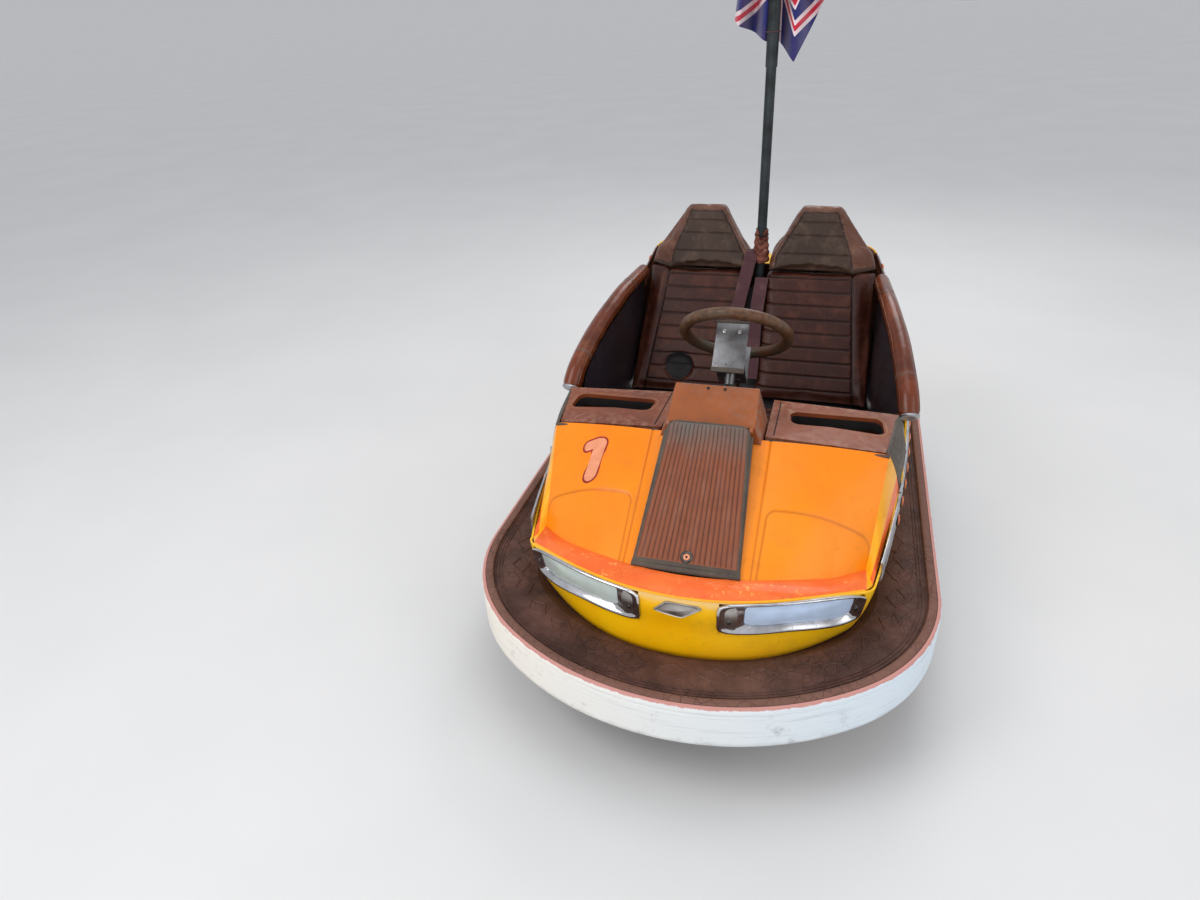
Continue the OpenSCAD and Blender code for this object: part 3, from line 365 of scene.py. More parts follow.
def ribs_material():
    """Ribbed hatch moulding: grey and dusty toward the rear, brown in front, with painted shade between the
    ribs.
    """
    g = Graph("hatch_brown")
    col = g.mix(g.mask(g.ragged(g.xyz()[1], 0.08, 12, 4), -0.44, -0.36), "8A4E34", "6C6660")
    col = g.tint(col, g.patches(0.45, 0.7, 26, 6), 0.3, "6A3C2E")
    col = g.tint(col, g.patches(0.5, 0.75, 1.0, 6, 0.7, g.scaled(60, 8, 8)), 0.35, "A5806C")
    # Painted shade in the hollows between the ribs.
    col = g.seam(col, "351C16", 0.85)
    g.bump(g.noise(300, 5), 0.2, 0.0008)
    g.done(col, g.patches(-0.6, 1.2, 30, 5))


GRIME = "2A1C16"

# Base, shade, roughness from and to, metallic, scale, dirt, its amount, then grain, coat and worn edge
WORN = {
    "frame_paint": ("232324", "35322F", (0.5, 0.8), 0, 8, "6A4A36", 0.5),
    "floor_plate": ("5D5C5A", "47433F", (0.4, 0.7), 0.7, 7, GRIME, 0.6),
    "dash_brown": ("8A4626", "6E341E", (0.3, 0.5), 0, 6, GRIME, 0.25, 700, 0, "A98470"),
    "slot_tan": ("96603F", "7E4E36", (0.3, 0.55), 0, 12, GRIME, 0.4, 700),
    "console_tan": ("A05526", "864822", (0.3, 0.5), 0, 5, "4A4440", 0.35, 700, 0, "8C8580"),
    "trim_grey": ("5E5348", "443C36", (0.45, 0.7), 0, 12, GRIME, 0.5),
    "tub_brown": ("262028", "1E1618", (0.25, 0.5), 0, 5, "5A3E34", 0.3, 500, 0.3),
    "pedal_rubber": ("1E1D1D", "2C2A29", (0.6, 0.85), 0, 14, "6A5A4A", 0.5),
    "wheel_steel": ("66696C", "4E5052", (0.4, 0.65), 0.3, 12, "5A3A26", 0.6),
    "wheel_rubber": ("1B1A1A", "292726", (0.7, 0.9), 0, 16, "6E6258", 0.5),
    "ring_worn": ("5C331A", "424036", (0.26, 0.48), 0, 8, "2E241C", 0.5, 500, 0, "B08A68"),
    "motor_paint": ("3A4048", "2C3036", (0.45, 0.7), 0.1, 12, GRIME, 0.5),
    "number_red": ("A8301E", "8A2418", (0.3, 0.5), 0, 30, "5A2014", 0.4),
    "number_salmon": ("F0A07A", "E08A62", (0.3, 0.5), 0, 30, "A85A3A", 0.4),
    # rubber_black is also the black of painted shade: the seat hole, the key hole and the hand slots'
    # throats.
    "rubber_black": ("161414", "232020", (0.55, 0.8), 0, 20, "4A3A30", 0.4),
}

# Base, deep tone, roughness from and to, pits, then metallic where it isn't 1
BRUSHED = {
    "chrome": ("D6D6DA", "A2A0A0", (0.1, 0.28), "5A4A3C"),
    "dark_chrome": ("6A6866", "4A4846", (0.2, 0.4), "3A3028"),
    "plate_steel": ("B9B6B2", "8E8A86", (0.25, 0.5), "7A5A40"),
    "silver_sheet": ("C9CACD", "A3A4A8", (0.25, 0.5), "6A6460"),
    "pole_steel": ("3E4446", "282A2A", (0.35, 0.6), "2A1E18", 0.5),
    "contact_brass": ("B08A4A", "7E5E32", (0.3, 0.5), "3A2A1A"),
    "bracket_steel": ("8A8A8C", "5E5A58", (0.25, 0.5), "4A3020", 0.85),
}

# Base, deep tone, worn tone, roughness from and to, coat
VINYL = {
    "seat_vinyl": ("421D13", "33150D", "6A3A28", (0.4, 0.6), 0.03),
    "headrest_vinyl": ("48342A", "3A291F", "75604F", (0.42, 0.65), 0.05),
    "edge_vinyl": ("6A4230", "533024", "92694E", (0.3, 0.5), 0.2),
    "roll_vinyl": ("703012", "4E200C", "98552B", (0.2, 0.38), 0.3),
}

# Base, deep tone, chips, then the tone it fades to
SHELL = {
    "body_yellow": ("FFC408", "F8AE02", "8A5A10", "FFCF3A"),
    "facet_yellow": ("FFB41E", "F7A012", "9A5A14"),
    "body_orange": ("FF8E0C", "FF8208", "B4561A", "FFA024"),
}


def make_materials():
    """Every material, kept in MAT by its name."""
    for make, table in ((worn, WORN), (brushed_material, BRUSHED), (vinyl_material, VINYL),
                        (shell_material, SHELL)):
        for name, row in table.items():
            make(name, *row)
    for make in (deck_material, band_material, band_paint_material, lens_material, lamp_material,
                 web_material, flag_material, leather_material, ribs_material):
        make()


# Mesh helpers, in millimetres
def link_object(name, mesh):
    """New object of a mesh, in the scene."""
    obj = bpy.data.objects.new(name, mesh)
    bpy.context.collection.objects.link(obj)
    return obj


def edit_mesh(obj, change):
    """Runs a change on an object's mesh as a bmesh."""
    bm = bmesh.new()
    bm.from_mesh(obj.data)
    change(bm)
    bm.to_mesh(obj.data)
    bm.free()


def copy_node(node, name, flatten=False):
    """Copy of a CAD node with its double points merged, and its flat facets too where that is asked."""
    obj = link_object(name, NODES[node].data.copy())
    obj.data.materials.clear()

    def clean(bm):
        bmesh.ops.remove_doubles(bm, verts=bm.verts, dist=2e-5)
        if flatten:
            bmesh.ops.dissolve_limit(bm, angle_limit=math.radians(3), verts=bm.verts, edges=bm.edges)

    edit_mesh(obj, clean)
    return obj


def smooth_shading(mesh):
    """Shades every face of a mesh smooth."""
    for p in mesh.polygons:
        p.use_smooth = True


def dress(obj, materials, body, stands_for=(), slot=None):
    """Gives an object its materials and body, and hides the nodes that it stands for; slot is not used."""
    for name in materials:
        obj.data.materials.append(MAT[name])
    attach(obj, body)
    if stands_for:
        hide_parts(*stands_for)
    return obj


def mesh_piece(name, part, material, body="chassis", stands_for=(), slot=None, sharp=35):
    """Makes a piece from points and faces; edges past the angle sharp stay sharp."""
    verts, faces = part
    mesh = bpy.data.meshes.new(name)
    mesh.from_pydata([tuple(c * MM for c in v) for v in verts], [], faces)
    mesh.validate()
    obj = link_object(name, mesh)
    edit_mesh(obj, lambda bm: bmesh.ops.recalc_face_normals(bm, faces=bm.faces))
    smooth_shading(mesh)
    mesh.set_sharp_from_angle(angle=math.radians(sharp))
    return dress(obj, [material], body, stands_for, slot)


def once(side, node):
    """The node that a pair of pieces stands for, named on the left one only."""
    return [node] if side < 0 else ()


def second_material(obj, material, marks):
    """Gives the marked faces a second material."""
    obj.data.materials.append(MAT[material])
    obj.data.polygons.foreach_set("material_index", np.array(marks, np.int32))


def mark_painted_shade(obj, values):
    """Stores how much painted shade each point gets in grooves and creases; points past the values get none.
    """
    marks = np.zeros(len(obj.data.vertices), np.float32)
    marks[:np.size(values)] = np.ravel(values)
    obj.data.attributes.new("seam", "FLOAT", "POINT").data.foreach_set("value", marks)


def grid_faces(rows, cols, wrap=False, skip=None):
    """Faces of a grid of points: wrap closes its rows to loops, skip says where it is open."""
    out = []
    for i in range(rows - 1):
        for j in range(cols if wrap else cols - 1):
            if not (skip and skip(i, j)):
                k = (j + 1) % cols
                out.append((i * cols + j, i * cols + k, (i + 1) * cols + k, (i + 1) * cols + j))
    return out


def sheet_piece(name, top, low, material, skip=None, **more):
    """Closed sheet between two grids of points, with openings where skip says."""
    top, low = np.array(top), np.array(low)
    n = top.shape[0] * top.shape[1]
    upper = grid_faces(*top.shape[:2], skip=skip)
    lower_side = [tuple(i + n for i in reversed(f)) for f in upper]
    edges = dict.fromkeys(edge for f in upper for edge in zip(f, f[1:] + f[:1]))
    rim = [(b, a, a + n, b + n) for a, b in edges if (b, a) not in edges]
    verts = np.concatenate([top.reshape(-1, 3), low.reshape(-1, 3)])
    return mesh_piece(name, (verts, upper + lower_side + rim), material, **more)


def tube_faces(rows, n, closed=False):
    """Faces of a tube of loops of n points, joined to itself where closed, or else with both ends filled."""
    last = (rows - 1) * n
    if closed:
        ends = [(last + j, last + (j + 1) % n, (j + 1) % n, j) for j in range(n)]
    else:
        ends = [tuple(range(n - 1, -1, -1)), tuple(range(last, last + n))]
    return grid_faces(rows, n, True) + ends


def loft(rings, side=1, cap=False):
    """Skin through rings of points, turned over on the left side, its last ring filled where cap says."""
    rings = np.array(rings, float)
    count, n = rings.shape[:2]
    faces = grid_faces(count, n, True)
    if cap:
        faces.append(tuple(range((count - 1) * n, count * n)))
    if side < 0:
        faces = [tuple(reversed(f)) for f in faces]
    return rings.reshape(-1, 3), faces


def unit(vectors):
    """Vectors of length 1."""
    return vectors / np.linalg.norm(vectors, axis=-1, keepdims=True)


def frames_along(path):
    """Two directions square to a path at each of its points."""
    t = unit(np.gradient(path, axis=0))
    up = [0, 1.0, 0] if abs(t[:, 2]).max() > 0.95 else [0, 0, 1.0]
    u = unit(np.cross(t, up))
    return u, np.cross(t, u)


def round_sections(path, radii, u, v, n, flat=1.0):
    """Loops of n points round a path, in the directions u and v."""
    radii = np.broadcast_to(radii, len(path))[:, None, None]
    a = np.linspace(0, TURN, n, endpoint=False)[None, :, None]
    return path[:, None] + radii * (np.cos(a) * u[:, None] + flat * np.sin(a) * v[:, None])


def tube_mesh(path, radii, n=16, flat=1.0, closed=False):
    """Tube along a path."""
    path = np.array(path, float)
    g = round_sections(path, radii, *frames_along(path), n, flat)
    return g.reshape(-1, 3), tube_faces(len(path), n, closed)


def ring_tube(points, radius, n=10):
    """Tube along a closed loop of points."""
    p = np.array(points, float)
    t = unit(np.roll(p, -1, 0) - np.roll(p, 1, 0))
    u = p - p.mean(0)
    u = unit(u - (u * t).sum(1)[:, None] * t)
    g = round_sections(p, radius, u, np.cross(t, u), n)
    return g.reshape(-1, 3), tube_faces(len(p), n, True)


def circle(centre, radius, n, u=(1, 0, 0), v=(0, 1, 0)):
    """Points round a circle in the plane of u and v."""
    a = np.linspace(0, TURN, n, endpoint=False)[:, None]
    return np.array(centre) + radius * (np.cos(a) * u + np.sin(a) * v)


def joined(parts):
    """One list of points and faces from several."""
    verts, faces, base = [], [], 0
    for v, f in parts:
        verts.append(np.array(v, float))
        faces += [tuple(i + base for i in g) for g in f]
        base += len(v)
    return np.concatenate(verts), faces


def disc(centre, axis, radius, height, n=24, dome=0.25):
    """Low round boss with a rounded edge, standing on centre along axis."""
    w = unit(np.array(axis, float))
    u = unit(np.cross(w, [0.3, 0.9, 0.1]))
    profile = [(1, 0), (1, 0.6), (0.93, 0.88), (0.8, 1), (0.4, 1 + dome * 0.7), (0.05, 1 + dome)]
    rings = [circle(centre + height * h * w, radius * r, n, u, np.cross(w, u)) for r, h in profile]
    return np.concatenate(rings), tube_faces(len(profile), n)


def block(lo, hi, r):
    """Box with rounded edges."""
    bm = bmesh.new()
    bmesh.ops.create_cube(bm, size=1)
    lo, hi = np.array(lo, float), np.array(hi, float)
    for v in bm.verts:
        v.co = Vector((lo + hi) / 2 + np.array(v.co) * (hi - lo))
    bmesh.ops.bevel(bm, geom=bm.edges[:], offset=r, segments=3, affect="EDGES", profile=0.5)
    bm.verts.index_update()
    part = np.array([v.co for v in bm.verts], float), [tuple(v.index for v in f.verts) for f in bm.faces]
    bm.free()
    return part


def soften(node, name, width, material, segments, angle):
    """Copy of a CAD node with rounded edges, standing for it."""
    obj = copy_node(node, name, True)
    mod = obj.modifiers.new("round", "BEVEL")
    mod.width = width * MM
    mod.segments = segments
    mod.limit_method = "ANGLE"
    mod.angle_limit = math.radians(angle)
    mod.harden_normals = False
    smooth_shading(obj.data)
    obj.data.set_sharp_from_angle(angle=math.radians(40))
    return dress(obj, [material], BODY[node], [node], SLOT[node])


def step(x, lo, hi):
    """Soft step from 0 at lo to 1 at hi."""
    t = np.clip((x - lo) / (hi - lo), 0, 1)
    return t * t * (3 - 2 * t)


def bell(x, width):
    """Soft mark round x = 0."""
    return np.exp(-(x / width) ** 2)


def smooth_interp(x, xs, ys):
    """Interpolation with a monotone cubic, so that tables give soft surfaces."""
    xs, ys = np.array(xs, float), np.array(ys, float)
    d = np.diff(ys) / np.diff(xs)
    before, after = d[:-1], d[1:]
    m = np.zeros(len(xs))
    total = np.where(before + after == 0, 1, before + after)
    m[1:-1] = np.where(before * after > 0, 2 * before * after / total, 0)
    m[0], m[-1] = d[0], d[-1]
    x = np.clip(x, xs[0], xs[-1])
    i = np.clip(np.searchsorted(xs, x) - 1, 0, len(xs) - 2)
    h = xs[i + 1] - xs[i]
    t = (x - xs[i]) / h
    return ((2 * t**3 - 3 * t**2 + 1) * ys[i] + (t**3 - 2 * t**2 + t) * h * m[i]
            + (3 * t**2 - 2 * t**3) * ys[i + 1] + (t**3 - t**2) * h * m[i + 1])


def spline(points, n):
    """Smooth path through points."""
    p = np.array(points, float)
    s = np.concatenate([[0], np.cumsum(np.linalg.norm(np.diff(p, axis=0), axis=1))])
    t = np.linspace(0, s[-1], n)
    return np.stack([smooth_interp(t, s, p[:, k]) for k in range(3)], 1)


def direction(a):
    """Plan direction at an angle in degrees: 0 to the front, 90 to the right side."""
    return np.array([math.sin(math.radians(a)), -math.cos(math.radians(a))])


# The bumper's outline: centre and radius of its arcs, and the angles where the front and rear arcs end
HALF_WIDTH, REAR = 600, 975
NOSE_ARC, SHOULDER_ARC = ((0, -275), 700), ((150, -475), 450)
CORNER_ARC, REAR_ARC = ((280, 615), 320), ((0, -345), 1320)
NOSE_END, REAR_START = 36.8699, 180 - 16.2602


def bumper_outline():
    """Points and outward normals round the bumper's outer wall."""
    half = [(*NOSE_ARC, a) for a in np.arange(0, NOSE_END, 1.5)]
    half += [(*SHOULDER_ARC, a) for a in np.arange(NOSE_END, 90, 2.4)]
    half += [((150, y), 450, 90) for y in np.linspace(-475, 615, 50)]
    half += [(*CORNER_ARC, a) for a in np.arange(92, REAR_START, 3)]
    half += [(*REAR_ARC, a) for a in np.arange(REAR_START, 179.6, 0.9)]
    nor = np.array([direction(a) for _c, _r, a in half])
    pts = np.array([c + r * n for (c, r, _a), n in zip(half, nor)])
    flip = [-1, 1]
    return (np.concatenate([pts, [[0, REAR]], pts[:0:-1] * flip]),
            np.concatenate([nor, [[0, 1]], nor[:0:-1] * flip]))


def depth_inside(arc, x, y):
    """How far inside an arc of the bumper's outline a plan point lies."""
    (cx, cy), r = arc
    return r - math.hypot(x - cx, y - cy)


# The body's outline: where each arc ends in degrees, its centre and its radius
NOSE_Y = -795
C1 = np.array([0, NOSE_Y + 600.0])
C2 = C1 + 530 * direction(42)
C3 = np.array([524 - 5000.0, (C2 + (70 - 5000) * direction(78.5))[1]])
C4 = C3 + 4850 * direction(93.7)
BACK_R = 150 + C4[0] / math.sin(math.radians(172))
C5 = C4 + (150 - BACK_R) * direction(172)
BODY_ARCS = ((42, C1, 600), (78.5, C2, 70), (93.7, C3, 5000), (172, C4, 150), (180, C5, BACK_R))
CORNER = C2 + 70 * direction(78.5)
SKIN = 5


def body_pt(a, out):
    """Plan point of the body's outline at an angle, moved outward."""
    _end, centre, radius = next(arc for arc in BODY_ARCS if abs(a) <= arc[0] or arc is BODY_ARCS[-1])
    return (centre + (radius + out) * direction(abs(a))) * [-1 if a < 0 else 1, 1]


# How far the lower body stands out at a height, and the deck's height at a distance from the outline
TUCK_TOP = 447
TUCK_Z = [240, 256, 285, 330, 375, 410, TUCK_TOP]
TUCK_OUT = [-40, -36, -24, -8, 3, 8, 3]
DECK_IN = [10, 22, 32, 36, 60, 150, 186, 205]
DECK_Z = [300, 303, 303, 295, 295, 287, 261, 249]


def lower(z):
    """How far the lower body stands out at a height."""
    return float(smooth_interp(min(z, TUCK_TOP), TUCK_Z, TUCK_OUT))


def border_z(y):
    """Height of the hood's border."""
    arch = math.sin(math.pi * min(1, max(0, (y - NOSE_Y) / 176)))
    return 448 - 0.228 * (y - NOSE_Y) + 12 * arch


def nose_lift(a):
    """How far the foot of the nose stands out in front, against the tuck of the sides."""
    return 1 - step(abs(a), 8, 46)


def nose_low(z, a):
    """How far the nose stands out at a height and an angle."""
    return lower(z) + 34 * nose_lift(a) * (1 - step(z, 262, 372))


def deck_under(a):
    """Height of the deck under the foot of the body at an angle."""
    x, y = body_pt(a, -22 + 20 * nose_lift(a))
    x = abs(x)
    if y < -475:
        depth = depth_inside(NOSE_ARC if 0.8 * x < 0.6 * (-275 - y) else SHOULDER_ARC, x, y)
    elif y < 615:
        depth = HALF_WIDTH - x
    else:
        depth = depth_inside(REAR_ARC if 0.96 * x < 0.28 * (y + 345) else CORNER_ARC, x, y)
    return 0 if depth > DECK_IN[-1] else float(np.interp(depth, DECK_IN, DECK_Z))


def foot_z(a):
    """Height of the body's lower edge: just over the deck."""
    return max(257, deck_under(a) + 1)


# Bumper
def swept_ring(section):
    """Mesh of a closed section of (inset, z) swept round the bumper."""
    pts, nor = bumper_outline()
    sec = np.array(section, float)
    xy = pts[:, None] - nor[:, None] * sec[None, :, :1]
    z = np.broadcast_to(sec[None, :, 1:], xy.shape[:2] + (1,))
    return np.concatenate([xy, z], 2).reshape(-1, 3), tube_faces(len(pts), len(sec), True)


def field_z(inset):
    """Height of the deck's broad field."""
    return 295.2 - 0.0009 * (inset - 62) ** 2 - 0.02 * (inset - 62)


def deck_top():
    """Fine profile of the deck: rim, ridges, broad field, dished zone with ridges."""
    out = [(10, 299.5), (12, 301.5), (16, 302.8), (22, 303), (29, 302.6), (31, 301), (32.5, 296.5)]
    for s in (38, 46, 54):
        out += [(s - 3, 294.8), (s - 1.6, 295.2), (s - 0.8, 297.2), (s + 0.8, 297.2), (s + 1.6, 295.2)]
    out += [(s, field_z(s)) for s in np.linspace(62, 146, 12)]
    for s in np.linspace(150, 202, 27):
        ridge = 1.3 * max(0, math.cos((s - 150) / 52 * TURN * 5)) if s > 154 else 0
        out.append((s, np.interp(s, [150, 186, 205], [287.5, 262, 250]) + ridge))
    return out


def build_bumper():
    """Rubber deck with its diamonds, and the white outer wall."""
    under = [(205, 248), (205, 236), (186, 247), (150, 273), (98, 277), (98, 194), (86, 182.5), (10, 182)]
    wall = [(10, 182), (6.5, 182.3), (2, 185), (0.3, 190), (0, 196), (0, 276), (0.2, 279), (1.8, 280.4),
            (1.8, 283), (0.2, 284.4), (0, 287), (0.6, 294), (3, 298.6), (6.4, 300.4), (10, 300.4)]
    mesh_piece("bumper_deck", swept_ring(deck_top() + under), "deck_rubber", stands_for=["bumper_tyre"],
               slot="deck_rubber", sharp=50)
    mesh_piece("bumper_wall", swept_ring(wall), "side_rubber", stands_for=["bumper_band"],
               slot="side_rubber", sharp=50)
    diamonds()


def diamonds():
    """Raised diamond outlines along the deck."""
    pts, nor = bumper_outline()
    pts, nor = np.concatenate([pts, pts[:1]]), np.concatenate([nor, nor[:1]])
    arc = np.concatenate([[0], np.cumsum(np.linalg.norm(np.diff(pts, axis=0), axis=1))])
    corners = [(-46, 104), (0, 80), (46, 104), (0, 128)]
    pitch = 118
    count = int(arc[-1] / pitch)

    def at(s, inset):
        p, n = (np.array([np.interp(s % arc[-1], arc, q[:, k]) for k in (0, 1)]) for q in (pts, nor))
        return [*(p - unit(n) * inset), field_z(inset) + 0.25]

    parts = []
    for start in (arc[-1] * k / count for k in range(count)):
        path = [at(start + a + (c - a) * t, b + (d - b) * t)
                for (a, b), (c, d) in zip(corners, corners[1:] + corners[:1])
                for t in np.linspace(0, 1, 7)[:-1]]
        parts.append(tube_mesh(path, 3.2, 8, 0.6, True))
    mesh_piece("deck_diamonds", joined(parts), "deck_rubber", slot="deck_rubber", sharp=60)


# Lower body
LAMP_A0, LAMP_A1 = 8.8, 42.0


def lamp_sill(a):
    """Height of a lamp's lower edge."""
    return 354 - 32 * step(abs(a), 22, 43)


def lamp_top(a):
    """Height of a lamp's upper edge."""
    return border_z(body_pt(a, 0)[1]) - 6


def body_sheet(name, column, places, skip=None, **more):
    """Yellow sheet of columns of points, one at each place, as thick as the skin."""
    top, low = (np.array([column(p, d) for p in places]).transpose(1, 0, 2) for d in (0, SKIN))
    return sheet_piece(name, top, low, "body_yellow", skip, slot="body_yellow", **more)


def build_nose():
    """Lower nose with a faint middle crease and openings for the lamps."""
    half = np.concatenate([np.linspace(0, LAMP_A0, 7)[:-1], np.linspace(LAMP_A0, LAMP_A1, 19),
                           np.linspace(LAMP_A1, 78.5, 24)[1:]])
    angles = np.concatenate([-half[:0:-1], half])
    low_t, mid_t, top_t = (np.linspace(0, 1, n) for n in (12, 7, 4))

    def column(a, inset):
        z0, z1, z3 = foot_z(a), lamp_sill(a), border_z(body_pt(a, 0)[1]) - 1.2
        z2 = min(lamp_top(a), z3 - 3)
        spans = z0 + (z1 - z0) * low_t, (z1 + (z2 - z1) * mid_t)[1:], (z2 + (z3 - z2) * top_t)[1:]
        out = []
        for z in np.concatenate(spans):
            crease = -1.6 * bell(z - 366 + 0.3 * abs(a), 4) * max(0, 1 - abs(a) / LAMP_A0) ** 0.5
            out.append([*body_pt(a, nose_low(z, a) - inset + crease), z])
        return out

    first, last = len(low_t) - 1, len(low_t) + len(mid_t) - 2

    def skip(i, j):
        return first <= i < last and LAMP_A0 < abs((angles[j] + angles[j + 1]) / 2) < LAMP_A1

    body_sheet("nose_skin", column, angles, skip, stands_for=["nose_shell"])


# The side's upper edge: its height and half width along the car
LEDGE_Y = [-603, -262, -225, -100, 2, 88, 200, 330, 450, 606]
LEDGE_Z = [397.7, 451, 480, 486, 486, 578, 628, 672, 698, 706]
LEDGE_X = [423, 484, 494, 500, 508, 506, 490, 468, 448, 433]


def side_point(a, t, inset, side):
    """Point of a side panel: t from 0 at its foot to 1 at its upper edge, with pleats in its recess."""
    y = body_pt(a, 0)[1]
    high, wide = (float(np.interp(y, LEDGE_Y, edge)) for edge in (LEDGE_Z, LEDGE_X))
    low = foot_z(a)
    z = low + (high - low) * t
    base = body_pt(a, lower(z) - inset)
    k = 0 if z <= TUCK_TOP else (z - TUCK_TOP) / max(1, high - TUCK_TOP)
    k = k * k * (3 - 2 * k) * 0.35 + k * 0.65
    lean = max(0, (y - 436) / 170) * 0.5 * max(0, z - 490)
    edge = min(z - 476, high - 24 - z, (y - 70) * 0.8, (596 - y) * 0.8)
    pleat = step(edge, 0, 7) * (5 - 2.2 * abs(math.sin(math.pi * (y + 0.35 * z) / 30)))
    return [side * (base[0] + (wide - inset - base[0]) * k - pleat), base[1] + lean, z]


def build_sides():
    """Side panels."""
    angles = np.concatenate([np.linspace(78.506, 85.5, 30)[:-1], np.linspace(85.5, 92.43, 130)])
    steps = np.concatenate([np.linspace(0, 0.55, 14)[:-1], np.linspace(0.55, 1, 34)])
    for side, name in SIDES:
        body_sheet(f"side_{name}_skin", lambda a, inset: [side_point(a, t, inset, side) for t in steps],
                   angles, stands_for=["side_" + name])


# Angle on the outline, and the point of the tail's upper edge there
TAIL = [[92.436, 398, 764, 792], [93.05, 392, 771, 798], [93.7, 385, 778, 803], [104, 368, 794, 808],
        [115, 350, 810, 806], [127, 332, 822, 800], [140, 312, 832, 788], [151, 290, 838, 774],
        [162, 262, 842, 762], [172, 225, 845, 755], [174.7, 150, 848, 751], [177.3, 75, 850, 750],
        [180, 0, 850, 750]]
FIN_BULGE = 14


def build_tail():
    """Tail with its fins and the shelf behind the seats, dark inside."""
    t = np.array(TAIL)
    k = np.linspace(0, len(t) - 1, 44)
    cols = np.stack([smooth_interp(k, range(len(t)), t[:, i]) for i in range(4)], 1)
    cols = np.concatenate([cols, cols[-2::-1] * [-1, -1, 1, 1]])

    def column(c, inset):
        a = c[0]
        out = [[*body_pt(a, lower(z) - inset), z] for z in np.linspace(foot_z(a), 440, 16)]
        foot = np.array([*body_pt(a, TUCK_OUT[-1] - inset), TUCK_TOP])
        bulge = (FIN_BULGE if abs(a) < 93.7 else 0) * (-1 if a < 0 else 1)
        top = np.array([c[1] - inset * np.sign(c[1]) * 0.6, c[2] - inset * 0.8, c[3] - inset * 0.4])
        out += [foot * (1 - s) + top * s + [bulge * math.sin(math.pi * s), 0, 0]
                for s in np.linspace(0, 1, 18)]
        shelf = np.array([c[1] * 0.93, 754, 742 - inset])
        for s in (0.04, 0.12, 0.3, 0.65, 1):
            lip = 5 * math.sin(math.pi * s * 4) if s < 0.25 else 0
            out.append(top * (1 - s) + shelf * s + [0, 0, lip])
        return out

    tail = body_sheet("tail_skin", column, cols, stands_for=["tail_shell"])
    outside = (len(column(cols[0], 0)) - 1) * (len(cols) - 1)
    second_material(tail, "edge_vinyl", [p.index >= outside for p in tail.data.polygons])


# Hood
BAND_INSET, BAND_RISE = 66, 12
HATCH_EDGE, HOOD_EDGE = 0.384, 409


def nose_at(x, inset):
    """Where the nose's arc, moved inward, lies along the car."""
    return C1[1] - math.sqrt((600 - inset) ** 2 - x * x)


def nose_border(x):
    """Point of the hood's border on the nose."""
    return np.array([x, nose_at(x, 0), border_z(nose_at(x, 0))])


def band_edge(x):
    """Point where the hood's panels meet the band round the nose."""
    y = nose_at(x * 0.985, BAND_INSET)
    return np.array([x, y, border_z(y) + BAND_RISE])


def hood_corner():
    """Point where nose, side and hood meet."""
    return np.array([*CORNER, border_z(CORNER[1])])


def hood_point(s, t, side):
    """Hood surface: s is 0 in the middle and 1 at the outer crease, t is 0 at the band and 1 at the rear."""
    p = max(0, (s - HATCH_EDGE) / (1 - HATCH_EDGE))
    rear = np.array([min(1, s / HATCH_EDGE) * 157 + p * 285, -373 + p * 55, 632 - 38 * p + 14 * p * (1 - p)])
    q = band_edge(s * HOOD_EDGE) * (1 - t) + rear * t
    q[2] += 7 * math.sin(math.pi * t) * math.sin(math.pi * min(1, p))
    return q * [side, 1, 1]


def recess_edge(x, y):
    """How far inside a recessed panel a point of the hood lies: rounded behind, open to the front."""
    x = abs(x)
    left, right = 162 + 0.03 * (y + 700), 409 + 0.08 * (y + 560)
    rear = -541 + 0.2 * (x - 175)
    dx, dy = min(x - left, right - x), (rear - y) * 0.98
    corner = 20
    if dx < corner and dy < corner:
        return corner - math.hypot(corner - dx, corner - dy)
    return min(dx, dy)


def hatch_line(x, y):
    """Distance of a point of the hood from the crease beside the hatch."""
    return abs(x) - 152 - 0.004 * (y + 373)


def recess_depth(x, y):
    """Depth of the two recessed panels and of the crease beside the hatch."""
    e = recess_edge(x, y)
    return 2.6 * step(e, -1, 3.5) + 1.4 * bell(e - 0.5, 2.2) + 2.4 * bell(hatch_line(x, y), 2.6)


def painted_crease_shade(x, y):
    """How much painted shade darkens the colour along the recesses and the crease."""
    return min(1, 0.6 * bell(recess_edge(x, y) - 0.8, 1.9) + 0.6 * bell(hatch_line(x, y), 1.8))


def build_hood():
    """Hood panels, the facets beside them and the band in front."""
    across = np.concatenate([np.linspace(0.235, HATCH_EDGE, 28), np.linspace(HATCH_EDGE, 1, 116)[1:]])
    along = np.linspace(0, 1, 132)
    for side, name in SIDES:
        top = np.array([[hood_point(s, t, side) for s in across] for t in along])
        plan = top[..., :2].reshape(-1, 2)
        top[..., 2] -= np.array([recess_depth(x, y) for x, y in plan]).reshape(top.shape[:2])
        panel = sheet_piece("hood_panel_" + name, top, top - [0, 0, 5.5], "body_orange", slot="body_orange",
                            stands_for=once(side, "hood_shell"))
        # Painted shade along the recesses and the crease.
        mark_painted_shade(panel, [painted_crease_shade(x, y) for x, y in plan])
        build_facet(side, name)
    build_band()


def build_facet(side, name):
    """Yellow triangle between the hood's outer crease and the side wall, red along its lower part."""
    foot, corner = np.array([484, -262, 458.0]), hood_corner()
    rows, cols, first_red = 30, 16, 9
    bulge = np.array([0.75, -0.25, 0.6]) * 5
    grid = []
    for t in np.linspace(0, 1, rows):
        a, b = hood_point(1, t, 1), corner * (1 - t) + foot * t
        grid.append([(a * (1 - s) + b * s + bulge * math.sin(math.pi * s) * min(1, t * 4)) * [side, 1, 1]
                     for s in np.linspace(0, 1, cols)])
    top = np.array(grid)
    obj = sheet_piece("hood_facet_" + name, top, top - [5.5 * side * 0.7, 0, 4], "facet_yellow",
                      slot="body_yellow")
    upper = (rows - 1) * (cols - 1)
    second_material(obj, "band_red", [p.index < upper and p.index % (cols - 1) >= first_red
                                      for p in obj.data.polygons])


